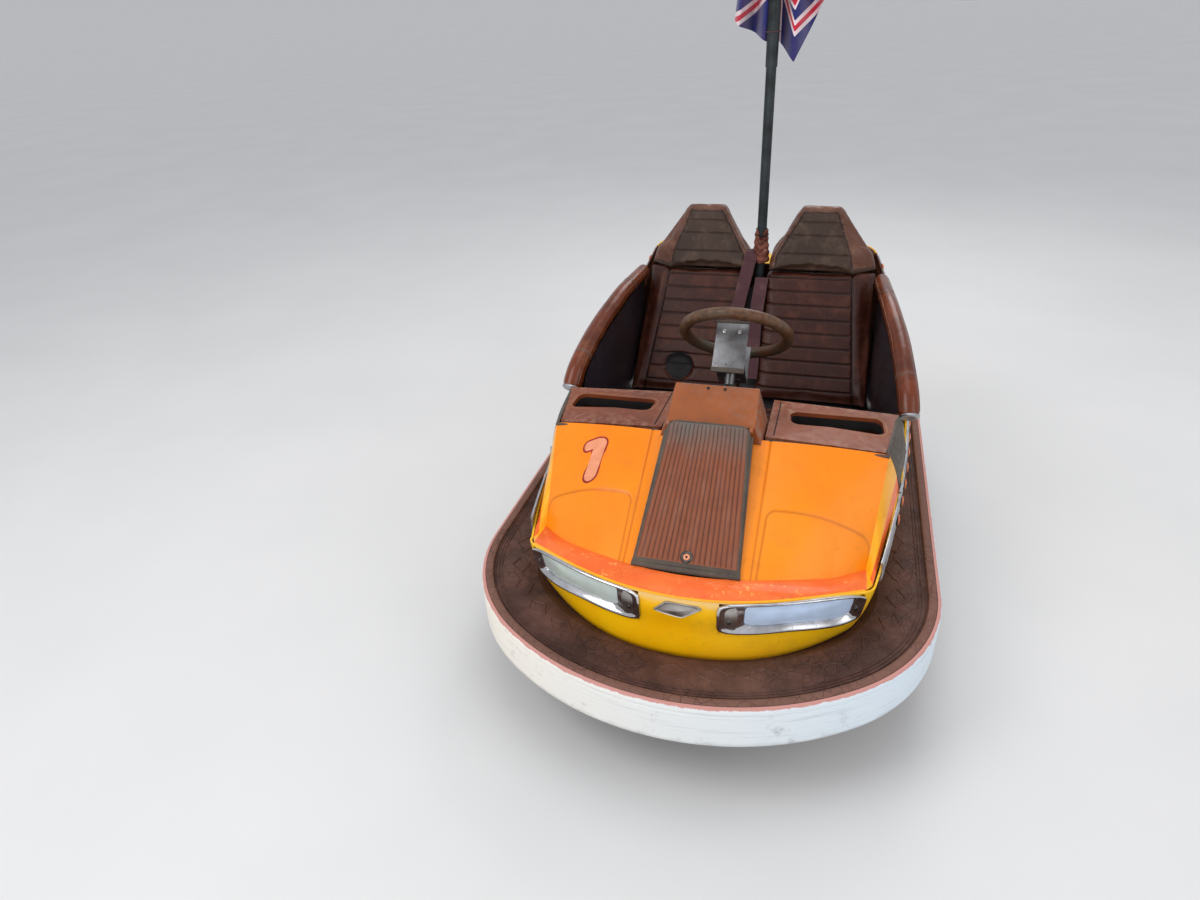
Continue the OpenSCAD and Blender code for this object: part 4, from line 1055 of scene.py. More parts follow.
def build_band():
    """Rounded red-orange band round the hood's nose edge, its corners, and the bead under it."""
    half = np.concatenate([np.linspace(0, 395, 60), np.linspace(400, HOOD_EDGE, 4)])
    rows = []
    for k in np.linspace(0, 1, 12):
        row = []
        crown = 6 * math.sin(math.pi * k) ** 0.7
        for x in np.concatenate([-half[:0:-1], half]):
            row.append(nose_border(x) * (1 - k) + band_edge(x) * k
                       + [0, 0, crown * (1 - step(abs(x), 380, HOOD_EDGE))])
        rows.append(row)
    top = np.array(rows)
    sheet_piece("hood_nose_band", top, top - [0, -1.0, 5.5], "band_red", slot="body_orange")
    front, rear, corner = top[0, -1], top[-1, -1], hood_corner()
    for side, name in SIDES:
        grid = np.array([[((front * (1 - t) + rear * t) * (1 - q) + corner * q) * [side, 1, 1]
                          for q in np.linspace(0, 0.98, 10)] for t in np.linspace(0, 1, 10)])
        sheet_piece("hood_corner_" + name, grid, grid - [0, -1, 5], "facet_yellow", slot="body_yellow")
    bead = [[x, nose_at(x, -0.6), nose_border(x)[2] - 2.4] for x in np.linspace(-404, 404, 120)]
    mesh_piece("hood_border_bead", tube_mesh(bead, 3.4, 8), "facet_yellow", slot="body_yellow")


# Number, laid on the hood
def on_surface(obj, x, y, lift):
    """Point of an object's surface straight below (x, y), lifted a little, or None beside it."""
    hit, place, normal, _i = obj.ray_cast(Vector((x * MM, y * MM, 1.2)), Vector((0, 0, -1)))
    return np.array(place) / MM + np.array(normal) * lift if hit else None


def capsule(p, q, half):
    """Outline of a flat capsule between two plan points."""
    p, q = np.array(p, float), np.array(q, float)
    heading = math.atan2(*(q - p)[::-1])
    ends = []
    for centre, start in ((q, heading - math.pi / 2), (p, heading + math.pi / 2)):
        a = np.linspace(start, start + math.pi, 14)
        ends.append(centre + half * np.stack([np.cos(a), np.sin(a)], 1))
    return np.concatenate(ends)


def decal(base, outline, lift):
    """Thin layer laid on a surface: rings of points from the outline to its middle."""
    mid = outline.mean(0)
    rings = [np.array([on_surface(base, *(mid + (p - mid) * k), lift) for p in outline])
             for k in (1, 0.75, 0.5, 0.25, 0.02)]
    return loft([rings[0] - [0, 0, lift + 0.3], *rings], cap=True)


def build_number(panel):
    """A plain figure one on the left of the hood: salmon with a dark red outline."""
    top, foot, flag, turn = (-289, -403), (-297, -480), (-322, -402), (-297, -397)
    for name, grow, lift, material in (("number_edge", 5, 0.35, "number_red"),
                                       ("number_face", 0, 0.7, "number_salmon")):
        parts = [decal(panel, capsule(foot, top, 17 + grow), lift),
                 decal(panel, capsule(flag, turn, 12.5 + grow), lift + 0.04)]
        mesh_piece(name, joined(parts), material, sharp=60)


# Hatch: its hinge, how far it runs forward and down, and its half width there
HINGE_Y, HINGE_Z = -404, 672
TILT = math.atan(209 / 318)
HATCH_L = 318 / math.cos(TILT)
HATCH_BACK, RIBS = 9, 19


def hatch_place(part):
    """From the hatch's own frame (x, distance forward, height over the hinge) to the car's."""
    v, f = part
    x, u, h = np.moveaxis(np.array(v, float), -1, 0)
    c, s = math.cos(TILT), math.sin(TILT)
    return np.stack([x, HINGE_Y - u * c - h * s, HINGE_Z - u * s + h * c], -1), f


def hatch_wide(u):
    """Half width of the hatch at a distance forward of its hinge, before its corners are rounded."""
    return 105 + 22.5 * u / HATCH_L


def hatch_half(u):
    """Half width of the hatch with rounded rear corners."""
    r, rear = 26, u + HATCH_BACK
    return hatch_wide(u) - (r - math.sqrt(max(0, r * r - (r - rear) ** 2)) if rear < r else 0)


def hatch_skin():
    """Top of the hatch: fine ribs inside a smooth dark border that rises over the hinge."""
    us = np.concatenate([[-9, -8.6, -8, -7, -5], np.linspace(-2, HATCH_L - 10, 84)])
    ts = np.linspace(-1, 1, RIBS * 9 + 10)
    top, marks, rim = [], [], []
    for u in us:
        half = hatch_half(u)
        for x in half * ts:
            inner = min(half - abs(x), u + HATCH_BACK, HATCH_L - 14 - u)
            border = 1 - step(inner, 7, 9)
            rib = abs(math.sin(math.pi * RIBS * x / (2 * (hatch_wide(u) - 8)) + math.pi / 2))
            shoulder = 9.5 * (1 - step(u, 8, 34)) - 3.2 * (1 - step(inner, 0, 3))
            top.append([x, u, -1.2 + shoulder + 1.6 * border + (1 - border) * 1.9 * rib ** 0.6])
            # Painted shade in the hollows between the ribs.
            marks.append((1 - border) * (1 - rib) ** 2.2)
            rim.append(border > 0.5)
    top = np.array(top).reshape(len(us), len(ts), 3)
    low = top.copy()
    low[..., 2] = np.minimum(top[..., 2] - 1.2, -2.2)
    obj = sheet_piece("hatch_skin", hatch_place((top, None))[0], hatch_place((low, None))[0], "hatch_brown",
                      body="hatch", slot="hatch_brown")
    mark_painted_shade(obj, marks)
    upper = (len(us) - 1) * (len(ts) - 1)
    second_material(obj, "trim_grey", [p.index >= upper or all(i < len(rim) and rim[i] for i in p.vertices)
                                       for p in obj.data.polygons])


def build_hatch():
    """Hatch plate, ribbed skin, front lip and lock."""
    soften("hatch_cover", "hatch_plate", 1.2, "trim_grey", 2, 30)
    hatch_skin()
    lip = [[x, HATCH_L - 7 + 3.5 * (1 - (x / 128) ** 2), -9] for x in np.linspace(-128, 128, 41)]
    mesh_piece("hatch_lip", hatch_place(tube_mesh(lip, 8.5, 12, 0.85)), "trim_grey", "hatch",
               slot="hatch_brown")
    lock, up = HATCH_L - 34, [0, 0, 1]
    ring = ring_tube(circle([0, lock, 0.4], 11.5, 32), 3.6)
    core, key = disc([0, lock, -3.6], up, 9.5, 5.2, 24, 0.2), disc([0, lock, 1.6], up, 3.2, 1.0, 12, 0.1)
    mesh_piece("lock_ring", hatch_place(ring), "dark_chrome", "hatch", stands_for=["hatch_lock"],
               slot="chrome")
    mesh_piece("lock_core", hatch_place(core), "number_salmon", "hatch")
    # Black boss as the key hole's painted shade.
    mesh_piece("lock_key_hole_shade", hatch_place(key), "rubber_black", "hatch")


# Console and dash
def slot_outline(grow):
    """Rounded outline of a hand slot in plan, grown outward."""
    reach, half_w, corner = 98, 40 + grow, 22 + grow
    half_l = reach + corner
    c, s = math.cos(math.radians(6)), math.sin(math.radians(6))
    out = []
    for sx, sy, start in ((1, 1, 0), (-1, 1, 90), (-1, -1, 180), (1, -1, 270)):
        for a in np.radians(start + np.linspace(0, 90, 10)):
            x = sx * (half_l - corner) + corner * math.cos(a)
            y = sy * (half_w - corner) + corner * math.sin(a)
            out.append((212 + reach + x * c - y * s - reach * (1 - c), -208 + reach * s + x * s + y * c))
    return out


def slot_rim(shape, side, node):
    """Recessed lighter rim round a hand slot, and its throat in black as painted shade."""
    rings = []
    for grow, lift in ((13, -0.6), (11.5, 0.9), (9, 1.5), (6, 0.9), (2.5, -1.2), (0.4, -3.6)):
        ring = []
        for (x, y), (x0, y0) in zip(slot_outline(grow), slot_outline(max(grow, 5))):
            q = on_surface(shape, side * x0, y0, 0)
            ring.append([side * x, y, (610 if q is None else q[2]) + lift])
        rings.append(ring)
    last = np.array(rings[-1])
    throat = [last, last - [0, 0, 12], last - [0, 0, 34]]
    mesh_piece(node + "_slot_rim", loft(rings, side), "slot_tan", slot="dash_brown")
    # Black throat: painted shade inside the slot.
    mesh_piece(node + "_slot_throat", loft(throat, side), "rubber_black", slot="dash_brown")


def build_dash():
    """Console with two screws, and the dash mouldings with hand slots, seams and trims."""
    soften("console", "console_cover", 11, "console_tan", 4, 28)
    screws = [disc([x, -293, 726.6], [0, -0.35, 1], 4.2, 1.4, 16, 0.2) for x in (-22, 22)]
    mesh_piece("console_screws", joined(screws), "rubber_black")
    for side, name in SIDES:
        node = "dash_" + name
        pod = soften(node, node + "_cover", 11, "dash_brown", 4, 30)
        shape = pod.evaluated_get(bpy.context.evaluated_depsgraph_get())
        slot_rim(shape, side, node)
        seam = [on_surface(shape, side * 156, y, 0.1) for y in np.linspace(-338, -112, 30)]
        seam = [q for q in seam if q is not None]
        if len(seam) > 3:
            mesh_piece(node + "_seam", tube_mesh(seam, 1.5, 6), "rubber_black", slot="dash_brown")
        foot = [[side * (140 + 302 * t), -357 + 35 * t + 1.5 * math.sin(math.pi * t), 622 - 31 * t]
                for t in np.linspace(0, 1, 24)]
        mesh_piece(node + "_lower_trim", tube_mesh(foot, 5, 10, 0.8), "trim_grey", slot="dash_brown")
        corner_trim(side, node)


def corner_trim(side, node):
    """Dark moulding that closes the dash's outer end down to the body's side."""
    a, b = np.array([440.0, -320, 598]), np.array([470.0, -104, 598])
    c, d = np.array([502.0, -120, 500]), np.array([487.0, -262, 462])
    outward = np.array([0.95, -0.15, 0.3]) * 9
    grid = []
    for t in np.linspace(0, 1, 22):
        swell = math.sin(math.pi * min(1, t * 1.1)) ** 0.7
        grid.append([((a * (1 - s) + b * s) * (1 - t) + (d * (1 - s) + c * s) * t
                      + outward * swell * (0.4 + 0.6 * math.sin(math.pi * s))) * [side, 1, 1]
                     for s in np.linspace(0, 1, 20)])
    top = np.array(grid)
    sheet_piece(node + "_corner_trim", top, top - [side * 6, 0, 0], "trim_grey", slot="dash_brown")
    edge = [[side * (490 - 6 * t), -250 - 22 * t, 470 - 12 * t] for t in np.linspace(0, 1, 6)]
    mesh_piece(node + "_corner_clip", tube_mesh(edge, 6, 8), "silver_sheet", slot="silver_sheet")


# Head lamps. A loop's row: from and to across the lamp, from and to up it, and how far it stands out
FRAME_LOOPS = ((-0.012, 1.012, -0.02, 1.02, -8), (-0.016, 1.016, -0.03, 1.03, 2),
               (-0.012, 1.012, -0.015, 1.02, 5.2), (-0.003, 1.004, 0.02, 0.995, 6.4),
               (0.006, 0.996, 0.05, 0.97, 5.6), (0.012, 0.99, 0.075, 0.95, 3.4), (0.1, 0.965, 0.1, 0.93, -1),
               (0.16, 0.94, 0.155, 0.9, -7), (0.17, 0.93, 0.17, 0.89, -14))


def lamp_loop(p0, p1, q0, q1, out, n=44, power=7.0):
    """Rounded loop on the nose: p across the lamp, q up it, out over the nose's surface."""
    pts = []
    for a in TURN * (np.arange(4 * n) + 0.5) / (4 * n):
        c, s = math.cos(a), math.sin(a)
        r = (abs(c) ** power + abs(s) ** power) ** (-1 / power)
        pts.append(((p0 + p1) / 2 + (p1 - p0) / 2 * c * r, (q0 + q1) / 2 + (q1 - q0) / 2 * s * r, out))
    return pts


def lamp_place(p, q, out, side):
    """Point on the nose at a share p across a lamp and q up it."""
    a = LAMP_A0 + (LAMP_A1 - LAMP_A0) * p
    z = lamp_sill(a) + (lamp_top(a) - lamp_sill(a)) * q
    x, y = body_pt(a, nose_low(z, a) + out)
    return [side * x, y, z]


def lamp_piece(name, loops, side, material, slot, cap=False, **more):
    """Piece of a lamp through its loops."""
    rings = [[lamp_place(*pt, side) for pt in loop] for loop in loops]
    return mesh_piece(name, loft(rings, side, cap), material, slot=slot, **more)


def build_lamps():
    """Chrome frames with a thick sill, a deep end plate with a screw toward the middle, and milky lenses."""
    frames = [lamp_loop(*row) for row in FRAME_LOOPS]
    lens = [lamp_loop(0.167 + 0.383 * k, 0.933 - 0.383 * k, 0.165 + 0.36 * k, 0.895 - 0.36 * k,
                      -9 + 5 * math.sin(math.pi / 2 * k)) for k in (0, 0.15, 0.4, 0.7, 0.97)]
    plate = [lamp_loop(0.016 + 0.05 * k, 0.118 - 0.045 * k, 0.1 + 0.3 * k, 0.93 - 0.3 * k,
                       1.4 + 1.6 * k, 12, 5) for k in (0, 0.5, 0.95)]
    for side, name in SIDES:
        lamp_piece("lamp_frame_" + name, frames, side, "chrome", "chrome",
                   stands_for=once(side, "lamp_frames"), sharp=40)
        lamp_piece("lamp_lens_" + name, lens, side, "lens", "lens", True,
                   stands_for=once(side, "lamp_lenses"), sharp=50)
        lamp_piece("lamp_end_plate_" + name, plate, side, "plate_steel", "chrome", True)
        screws = []
        for p, q, out in ((0.066, 0.45, 2.6), (0.958, 0.5, -1.5)):
            c = np.array(lamp_place(p, q, out, side))
            screws.append(disc(c, [c[0], c[1] - C1[1], 0], 5.5, 2.2, 14, 0.3))
        mesh_piece("lamp_screws_" + name, joined(screws), "dark_chrome", slot="chrome")


# The badge's outline: across the nose, and up as a share of its height
BADGE = [(-54, 0.36), (-28, 0.96), (-20, 1.0), (46, 0.93), (54, 0.82), (53, 0.72), (28, 0.28), (14, 0.02),
         (4, 0.0), (-22, 0.1), (-44, 0.2), (-53, 0.28)]
BADGE_Z, BADGE_HIGH = 415, 40


def build_badge():
    """Bare raised plate on the nose, with a rolled edge."""
    rings = []
    for k, out in ((1.0, -3), (1.0, 3.2), (0.94, 4.4), (0.88, 3.6), (0.8, 3.2), (0.3, 4.6), (0.03, 4.8)):
        ring = []
        for x, h in BADGE:
            z = BADGE_Z + (h - 0.5) * BADGE_HIGH * k
            a = math.degrees(math.asin(x * k / 600))
            ring.append([*body_pt(a, nose_low(z, a) + out), z])
        rings.append(ring)
    mesh_piece("badge_cover", loft(rings, cap=True), "plate_steel", slot=SLOT["badge_plate"],
               stands_for=["badge_plate"], sharp=30)


# Rolls, strips and lining
ROLL = [[508, 6, 545], [500, 52, 592], [486, 140, 640], [474, 230, 672], [456, 330, 703], [438, 440, 727],
        [416, 640, 738]]


def build_rolls():
    """Glossy padded rolls along the cockpit's edge, with piping, two bands and small sags."""
    rows, n = 150, 40
    t = np.linspace(0, 1, rows)
    r = 30 - 7 * t**1.6 - 2 * (1 - np.minimum(1, t * 24)) ** 2
    r = r * (1 - 0.4 * np.clip((t - 0.975) / 0.025, 0, 1) ** 2)
    piped = slice(2, -4)
    for side, name in SIDES:
        path = spline([[side * x, y, z] for x, y, z in ROLL], rows)
        u, v = frames_along(path)
        grid = round_sections(path, r, u, v, n)
        sag = RNG.normal(0, 1, (rows, n))
        for _ in range(9):
            sag = (sag + np.roll(sag, 1, 1) + np.roll(sag, -1, 1) + np.roll(sag, 1, 0)
                   + np.roll(sag, -1, 0)) / 5
        grid += (grid - path[:, None]) * (sag[..., None] * 0.035)
        obj = mesh_piece("roll_" + name, (grid.reshape(-1, 3), tube_faces(rows, n)), "roll_vinyl",
                         slot="roll_vinyl", stands_for=once(side, "rolls"), sharp=70)
        trims = []
        for a in (math.radians(205), math.radians(-25)):
            outward = math.cos(a) * u[piped] + math.sin(a) * v[piped]
            trims.append(tube_mesh(path[piped] + outward * (r[piped] - 0.4)[:, None], 1.6, 6))
        trims += [tube_mesh(path[q:q + 4], r[q:q + 4] + [0.1, 1.0, 1.0, 0.1], 32) for q in (24, 112)]
        mesh_piece("roll_piping_" + name, joined(trims), "edge_vinyl", slot="roll_vinyl")
    soften("sills", "sill_plates", 3, "silver_sheet", 3, 30)


# The side strip's section, with rolled edges: height over its middle, and how far it stands out
STRIP_Z, STRIP_IN = 413, 1.2
STRIP = [(-27, 1.6), (-26.6, 4.5), (-25, 6.8), (-22, 7.4), (-19, 6.6), (-16, 4.4), (-13, 3.6), (0, 4.2)]
STRIP += [(-z, out) for z, out in STRIP[-2::-1]]


def build_strips():
    """Silver strips along the sides and up the fins, with their lamps."""
    for side, name in SIDES:
        top, low = ([[[*(body_pt(a, lower(STRIP_Z + z) + (out if outer else STRIP_IN)) * [side, 1]),
                       STRIP_Z + z] for a in np.linspace(79, 93.6, 90)] for z, out in STRIP]
                    for outer in (True, False))
        sheet_piece("side_strip_" + name, top, low, "silver_sheet", slot="silver_sheet",
                    stands_for=once(side, "side_strips"))
        fin_strip(side, name)
        strip_lamps(side, name)


def fin_point(k, t, out):
    """Point over the fin's front strip: k across it, t up it."""
    angle, *edge = np.array(TAIL[0], float) * (1 - k) + np.array(TAIL[2], float) * k
    foot = np.array([*body_pt(angle, TUCK_OUT[-1] + out), TUCK_TOP])
    return (foot * (1 - t) + (np.array(edge) + [0.6 * out, 0.8 * out, 0]) * t
            + [FIN_BULGE * math.sin(math.pi * t), 0, 0])


def fin_strip(side, name):
    """Upswept strip on a fin's front edge."""
    ts = np.linspace(-0.02, 0.965, 50)
    rows = list(zip(np.linspace(0.06, 0.94, len(STRIP)), STRIP))
    top = [[fin_point(k, t, out) * [side, 1, 1] for t in ts] for k, (_z, out) in rows]
    low = [[fin_point(k, t, STRIP_IN) * [side, 1, 1] for t in ts] for k, _row in rows]
    sheet_piece("fin_strip_" + name, top, low, "silver_sheet", slot="silver_sheet")


def strip_lamps(side, name):
    """Round orange lamps along a side's strips, each in a dark rim."""
    places = []
    for y in range(-330, 661, 90):
        a = 90 + math.degrees(math.asin((y - C3[1]) / 5000))
        places.append(([*(body_pt(a, lower(STRIP_Z) + 4.3) * [side, 1]), STRIP_Z], [side, 0, 0], 15, 17.5))
    for z in (492, 574, 654, 745):
        size = 15 if z < 700 else 12
        c = fin_point(0.5, (z - TUCK_TOP) / 351, 4.6) * [side, 1, 1]
        places.append((c, [side * 0.955, 0.05, 0.29], size - 1, size + 1.5))
    caps = joined([disc(c, w, cap, 5.5, 24, 0.35) for c, w, cap, _rim in places])
    rims = joined([disc(c, w, rim, 2.2, 24, 0.0) for c, w, _cap, rim in places])
    mesh_piece("strip_lamps_" + name, caps, "lamp_orange", slot="lamp_orange",
               stands_for=once(side, "strip_lamps"), sharp=50)
    mesh_piece("strip_lamp_rims_" + name, rims, "trim_grey", slot="silver_sheet", sharp=50)


# The lining's upper edge: place along the car, half width, height
LINING = [[-100, 472, 484], [10, 472, 484], [60, 476, 552], [140, 466, 606], [230, 454, 640], [330, 436, 672],
          [440, 421, 696], [640, 419, 708]]


def build_lining():
    """Dark inner side panels."""
    foot_x, foot_z0 = 418, 303.6
    y0, x0, z0 = np.array(LINING, float).T
    ys = np.linspace(-100, 640, 90)
    edge = list(zip(ys, smooth_interp(ys, y0, x0), smooth_interp(ys, y0, z0)))
    for side, name in SIDES:
        top = np.array([[[side * (foot_x + (x - foot_x) * t - 5 * math.sin(math.pi * t)), y,
                          foot_z0 + (z - foot_z0) * t] for y, x, z in edge] for t in np.linspace(0, 1, 22)])
        sheet_piece("lining_" + name, top, top + [side * 3.5, 0, 0], "tub_brown", slot="tub_brown",
                    stands_for=once(side, "inner_panels"))


# Cushions
BACK_LEAN = math.radians(37)
SIM_FRAMES = 20
CLOTH = {"quality": 5, "mass": 0.3, "tension_stiffness": 12, "compression_stiffness": 12,
         "shear_stiffness": 5, "bending_stiffness": 0.8, "use_pressure": True, "uniform_pressure_force": 4}


def bake(obj):
    """Turns an object's modifiers into its mesh."""
    mesh = bpy.data.meshes.new_from_object(obj.evaluated_get(bpy.context.evaluated_depsgraph_get()))
    obj.modifiers.clear()
    obj.data = mesh


def coords(obj):
    """Points of an object, in metres."""
    co = np.zeros(len(obj.data.vertices) * 3)
    obj.data.vertices.foreach_get("co", co)
    return co.reshape(-1, 3)


def set_coords(obj, co):
    """Moves an object's points."""
    obj.data.vertices.foreach_set("co", np.asarray(co, np.float32).ravel())
    obj.data.update()


def normals(obj):
    """Directions of an object's points."""
    return np.array([v.normal for v in obj.data.vertices])


def smooth_mesh(obj, times):
    """Evens a mesh out."""
    def change(bm):
        for _ in range(times):
            bmesh.ops.smooth_vert(bm, verts=bm.verts, factor=0.5, use_axis_x=True, use_axis_y=True,
                                  use_axis_z=True)

    edit_mesh(obj, change)


def voxel_copy(node, name, size, shrink):
    """Even mesh of a CAD soft solid, drawn in a little, ready to be blown up."""
    obj = copy_node(node, name)
    mod = obj.modifiers.new("voxels", "REMESH")
    mod.mode = "VOXEL"
    mod.voxel_size = size * MM
    bake(obj)
    smooth_mesh(obj, 3)
    set_coords(obj, coords(obj) - normals(obj) * shrink * MM)
    return obj


def finer(obj):
    """Divides each face in four."""
    mod = obj.modifiers.new("fine", "SUBSURF")
    mod.levels = 1
    mod.render_levels = 1
    bake(obj)


def blow_up(objs, caps):
    """Cloth simulation with inner pressure, all cushions at once, each held to its cap in millimetres."""
    rest = [coords(o) for o in objs]
    for o in objs:
        mod = o.modifiers.new("cloth", "CLOTH")
        for k, v in CLOTH.items():
            setattr(mod.settings, k, v)
        mod.settings.effector_weights.gravity = 0
        mod.collision_settings.use_collision = False
        mod.collision_settings.use_self_collision = False
        mod.point_cache.frame_start = 1
        mod.point_cache.frame_end = SIM_FRAMES
    for number in range(1, SIM_FRAMES + 1):
        bpy.context.scene.frame_set(number)
    for o, old, cap in zip(objs, rest, caps):
        bake(o)
        moved = coords(o) - old
        far = np.linalg.norm(moved, axis=1)
        set_coords(o, old + moved * np.minimum(1, cap * MM / np.maximum(far, 1e-9))[:, None])
        smooth_mesh(o, 1)
    bpy.context.scene.frame_set(1)


def channels(x, pitch, width):
    """Grooves at even distances."""
    return bell((0.5 - np.abs((x / pitch) % 1 - 0.5)) * pitch, width)


def back_marks(p, no):
    """Grooves of the seat backs: channels, the seam beside the bolster, and the raised bolster."""
    s = (p[:, 2] - 372) / math.cos(BACK_LEAN)
    front = step(no @ np.array([0, -math.cos(BACK_LEAN), math.sin(BACK_LEAN)]), 0.3, 0.6)
    x = np.abs(p[:, 0])
    edge = 366 - 44 * (p[:, 2] - 372) / 370
    channel = 4.4 * channels(s, 50, 3.4) * step(edge - x, 0, 8) * step(x - 30, 0, 6)
    return front * (np.maximum(channel, 6 * bell(x - edge, 3.4)) - 7 * step(x - edge, 3, 22))


def rest_panel(p):
    """How far inside the inset panel of a headrest a point lies."""
    x, z = np.abs(p[:, 0]), p[:, 2]
    heights = [742, 800, 955, 968]
    inner, outer = np.interp(z, heights, [28, 34, 122, 134]), np.interp(z, heights, [330, 318, 256, 246])
    return np.minimum(np.minimum(x - inner - 22, outer - x - 4), np.minimum(946 - z, z - 715))


def rest_marks(p, no):
    """Grooves of the headrests: an inset panel with three channels."""
    front = step(-no[:, 1], 0.25, 0.6)
    e = rest_panel(p)
    inset = 1.1 * step(e, 0, 7) + 4.2 * bell(e - 1, 3.2)
    channel = sum(1.6 * bell(p[:, 2] - z, 3.2) for z in (806, 868, 912)) * step(e, 2, 8)
    return front * (inset + channel) * step(p[:, 2] - 742, 8, 24)


def seat_marks(p, no):
    """Grooves of the seat: cross channels and a middle seam."""
    channel = 5 * channels(p[:, 1] - 95, 60, 5) * step(352 - np.abs(p[:, 0]), 0, 8)
    return step(no[:, 2], 0.4, 0.7) * np.maximum(7 * bell(p[:, 0], 5), channel)


# CAD node, piece, voxel size, how far it is drawn in, how far it may blow up, its grooves, its slot
CUSHIONS = [("seat_base", "seat_cushion", 7, 5, 12, seat_marks, "seat_vinyl"),
            ("seat_backs", "seat_back_pads", 7.3, 2, 9, back_marks, "seat_vinyl"),
            ("headrests", "headrest_pads", 6, 2, 8, rest_marks, "headrest_vinyl")]


def build_cushions():
    """Seat, seat backs and headrests, blown up and grooved, with painted shade in the grooves."""
    pads = [voxel_copy(*row[:4]) for row in CUSHIONS]
    blow_up(pads, [row[4] for row in CUSHIONS])
    for obj, (node, _name, _size, _shrink, _cap, marks, slot) in zip(pads, CUSHIONS):
        finer(obj)
        co, no = coords(obj), normals(obj)
        depth = marks(co / MM, no)
        set_coords(obj, co - no * depth[:, None] * MM)
        # Painted shade in the grooves: the deeper the groove, the darker.
        mark_painted_shade(obj, np.clip((depth - 1.2) / 3.2, 0, 1))
        smooth_shading(obj.data)
        obj.data.materials.clear()
        dress(obj, [slot], "chassis", [node], slot)
        if node == "headrests":
            centre = np.array([p.center for p in obj.data.polygons]) / MM
            back = np.array([p.normal for p in obj.data.polygons])[:, 1] > -0.3
            second_material(obj, "edge_vinyl", ((rest_panel(centre) < 3) | back) & (centre[:, 2] > 762))


def build_seat_hole():
    """Black disc laid on the pad of the left seat back: painted shade of a round hole in it."""
    into = Vector((0, math.cos(BACK_LEAN), -math.sin(BACK_LEAN)))
    along = Vector((0, math.sin(BACK_LEAN), math.cos(BACK_LEAN)))
    pad = bpy.data.objects["seat_back_pads"]
    reach, rings, n = 0.06, 12, 48
    centre = Vector((-0.246, 0.4475, 0.446)) - into * reach
    top = []
    for radius in np.linspace(0.002, 0.049, rings):
        lift = 0.0012 if radius < 0.046 else 0.0004
        for a in np.linspace(0, TURN, n, endpoint=False):
            start = centre + Vector((math.cos(a) * radius, 0, 0)) + along * (math.sin(a) * radius)
            hit, place, _n, _i = pad.ray_cast(start, into)
            if not hit or (place - start).length >= 0.1:
                place = start + into * reach
            top.append(np.array(place - into * lift) / MM)
    count, last = rings * n, (rings - 1) * n
    faces = grid_faces(rings, n, True) + [tuple(reversed(range(n)))]
    faces += [tuple(i + count for i in reversed(f)) for f in faces]
    faces += [(last + k, last + (k + 1) % n, count + last + (k + 1) % n, count + last + k) for k in range(n)]
    low = np.array(top) + np.array(into) * 3
    # Black disc as the painted shade of the hole.
    mesh_piece("seat_hole_shade", (np.concatenate([top, low]), faces), "rubber_black", slot="seat_vinyl", sharp=60)


# Belts, boot and flag
POLE_Y = 690


def strap(path, across, half, thick=2.6):
    """Flat strap along a path: its width runs in the direction across."""
    p = np.array(path, float)
    across = unit(np.array(across, float))
    up = unit(np.cross(across, unit(np.gradient(p, axis=0))))
    section = [(-1, -0.5), (-0.96, 0.5), (-0.5, 0.62), (0, 0.6), (0.5, 0.62), (0.96, 0.5), (1, -0.5),
               (0, -0.5)]
    g = np.array([p + across * half * a + up * thick * b for a, b in section]).transpose(1, 0, 2)
    return g.reshape(-1, 3), tube_faces(len(p), len(section))


def back_at(x, s, out):
    """Point over the front of the seat backs: s up the slope from the foot, out in front of it."""
    c, n = math.cos(BACK_LEAN), math.sin(BACK_LEAN)
    return [x, 372 + s * n - out * c, 372 + s * c + out * n]


def build_belts():
    """Two belts: one down the middle, one over the seat back's edge with a loop."""
    middle = [back_at(12 + 3 * math.sin(s / 60), s, 8 + 3 * math.sin(s / 45))
              for s in np.linspace(70, 440, 60)]
    over = [[-30, 690, 812], [-31, 676, 806], [-33, 664, 792], [-36, 655, 772]]
    over += [back_at(-40 - 0.13 * (455 - s), s, 16) for s in np.linspace(445, 190, 40)]
    loop = [back_at(-70 + 3 * math.sin(a), 250 + 26 * math.cos(a), 19 + 6 * abs(math.sin(a)))
            for a in np.linspace(0.2, TURN - 0.2, 26)]
    straps = [strap(spline(middle, 70), [1, 0, 0], 23), strap(spline(over, 80), [1, 0, 0.06], 23),
              strap(loop, [1, 0, 0], 23, 2.2)]
    mesh_piece("belt_straps", joined(straps), "belt_web", stands_for=["belts"], slot="belt_web", sharp=60)


def build_boot():
    """Leather boot round the pole: flared, creased, with a notch in front and a band."""
    rows, n = 34, 60
    a = np.linspace(0, TURN, n, endpoint=False)
    notch = np.maximum(0, np.cos(a + math.pi / 2)) ** 8
    rings = []
    for t in np.linspace(0, 1, rows):
        r = 30 - 9 * t + 2.2 * np.sin(3 * a + 4 * t) * (1 - t) + 1.6 * np.sin(9 * t * math.pi + a)
        rings.append(np.stack([r * np.cos(a), POLE_Y + r * np.sin(a), 770 + (116 - 30 * notch) * t], 1))
    inner = circle([0, POLE_Y, 0], 17.4, n)
    inner[:, 2] = rings[-1][:, 2]
    mesh_piece("boot_skin", loft([*rings, inner]), "boot_leather", stands_for=["pole_boot"],
               slot="boot_leather", sharp=70)
    band = circle([0, POLE_Y, 866], 22.5, 40)
    band[:, 2] += 1.5 * np.sin(2 * np.linspace(0, TURN, 40, endpoint=False))
    mesh_piece("boot_band", ring_tube(band, 2.4, 8), "rubber_black", slot="boot_leather")


FLAG_W, FLAG_H = 480.0, 360.0
FLAG_US, FLAG_VS = np.linspace(-1, 1, 121), np.linspace(0, 1, 91)


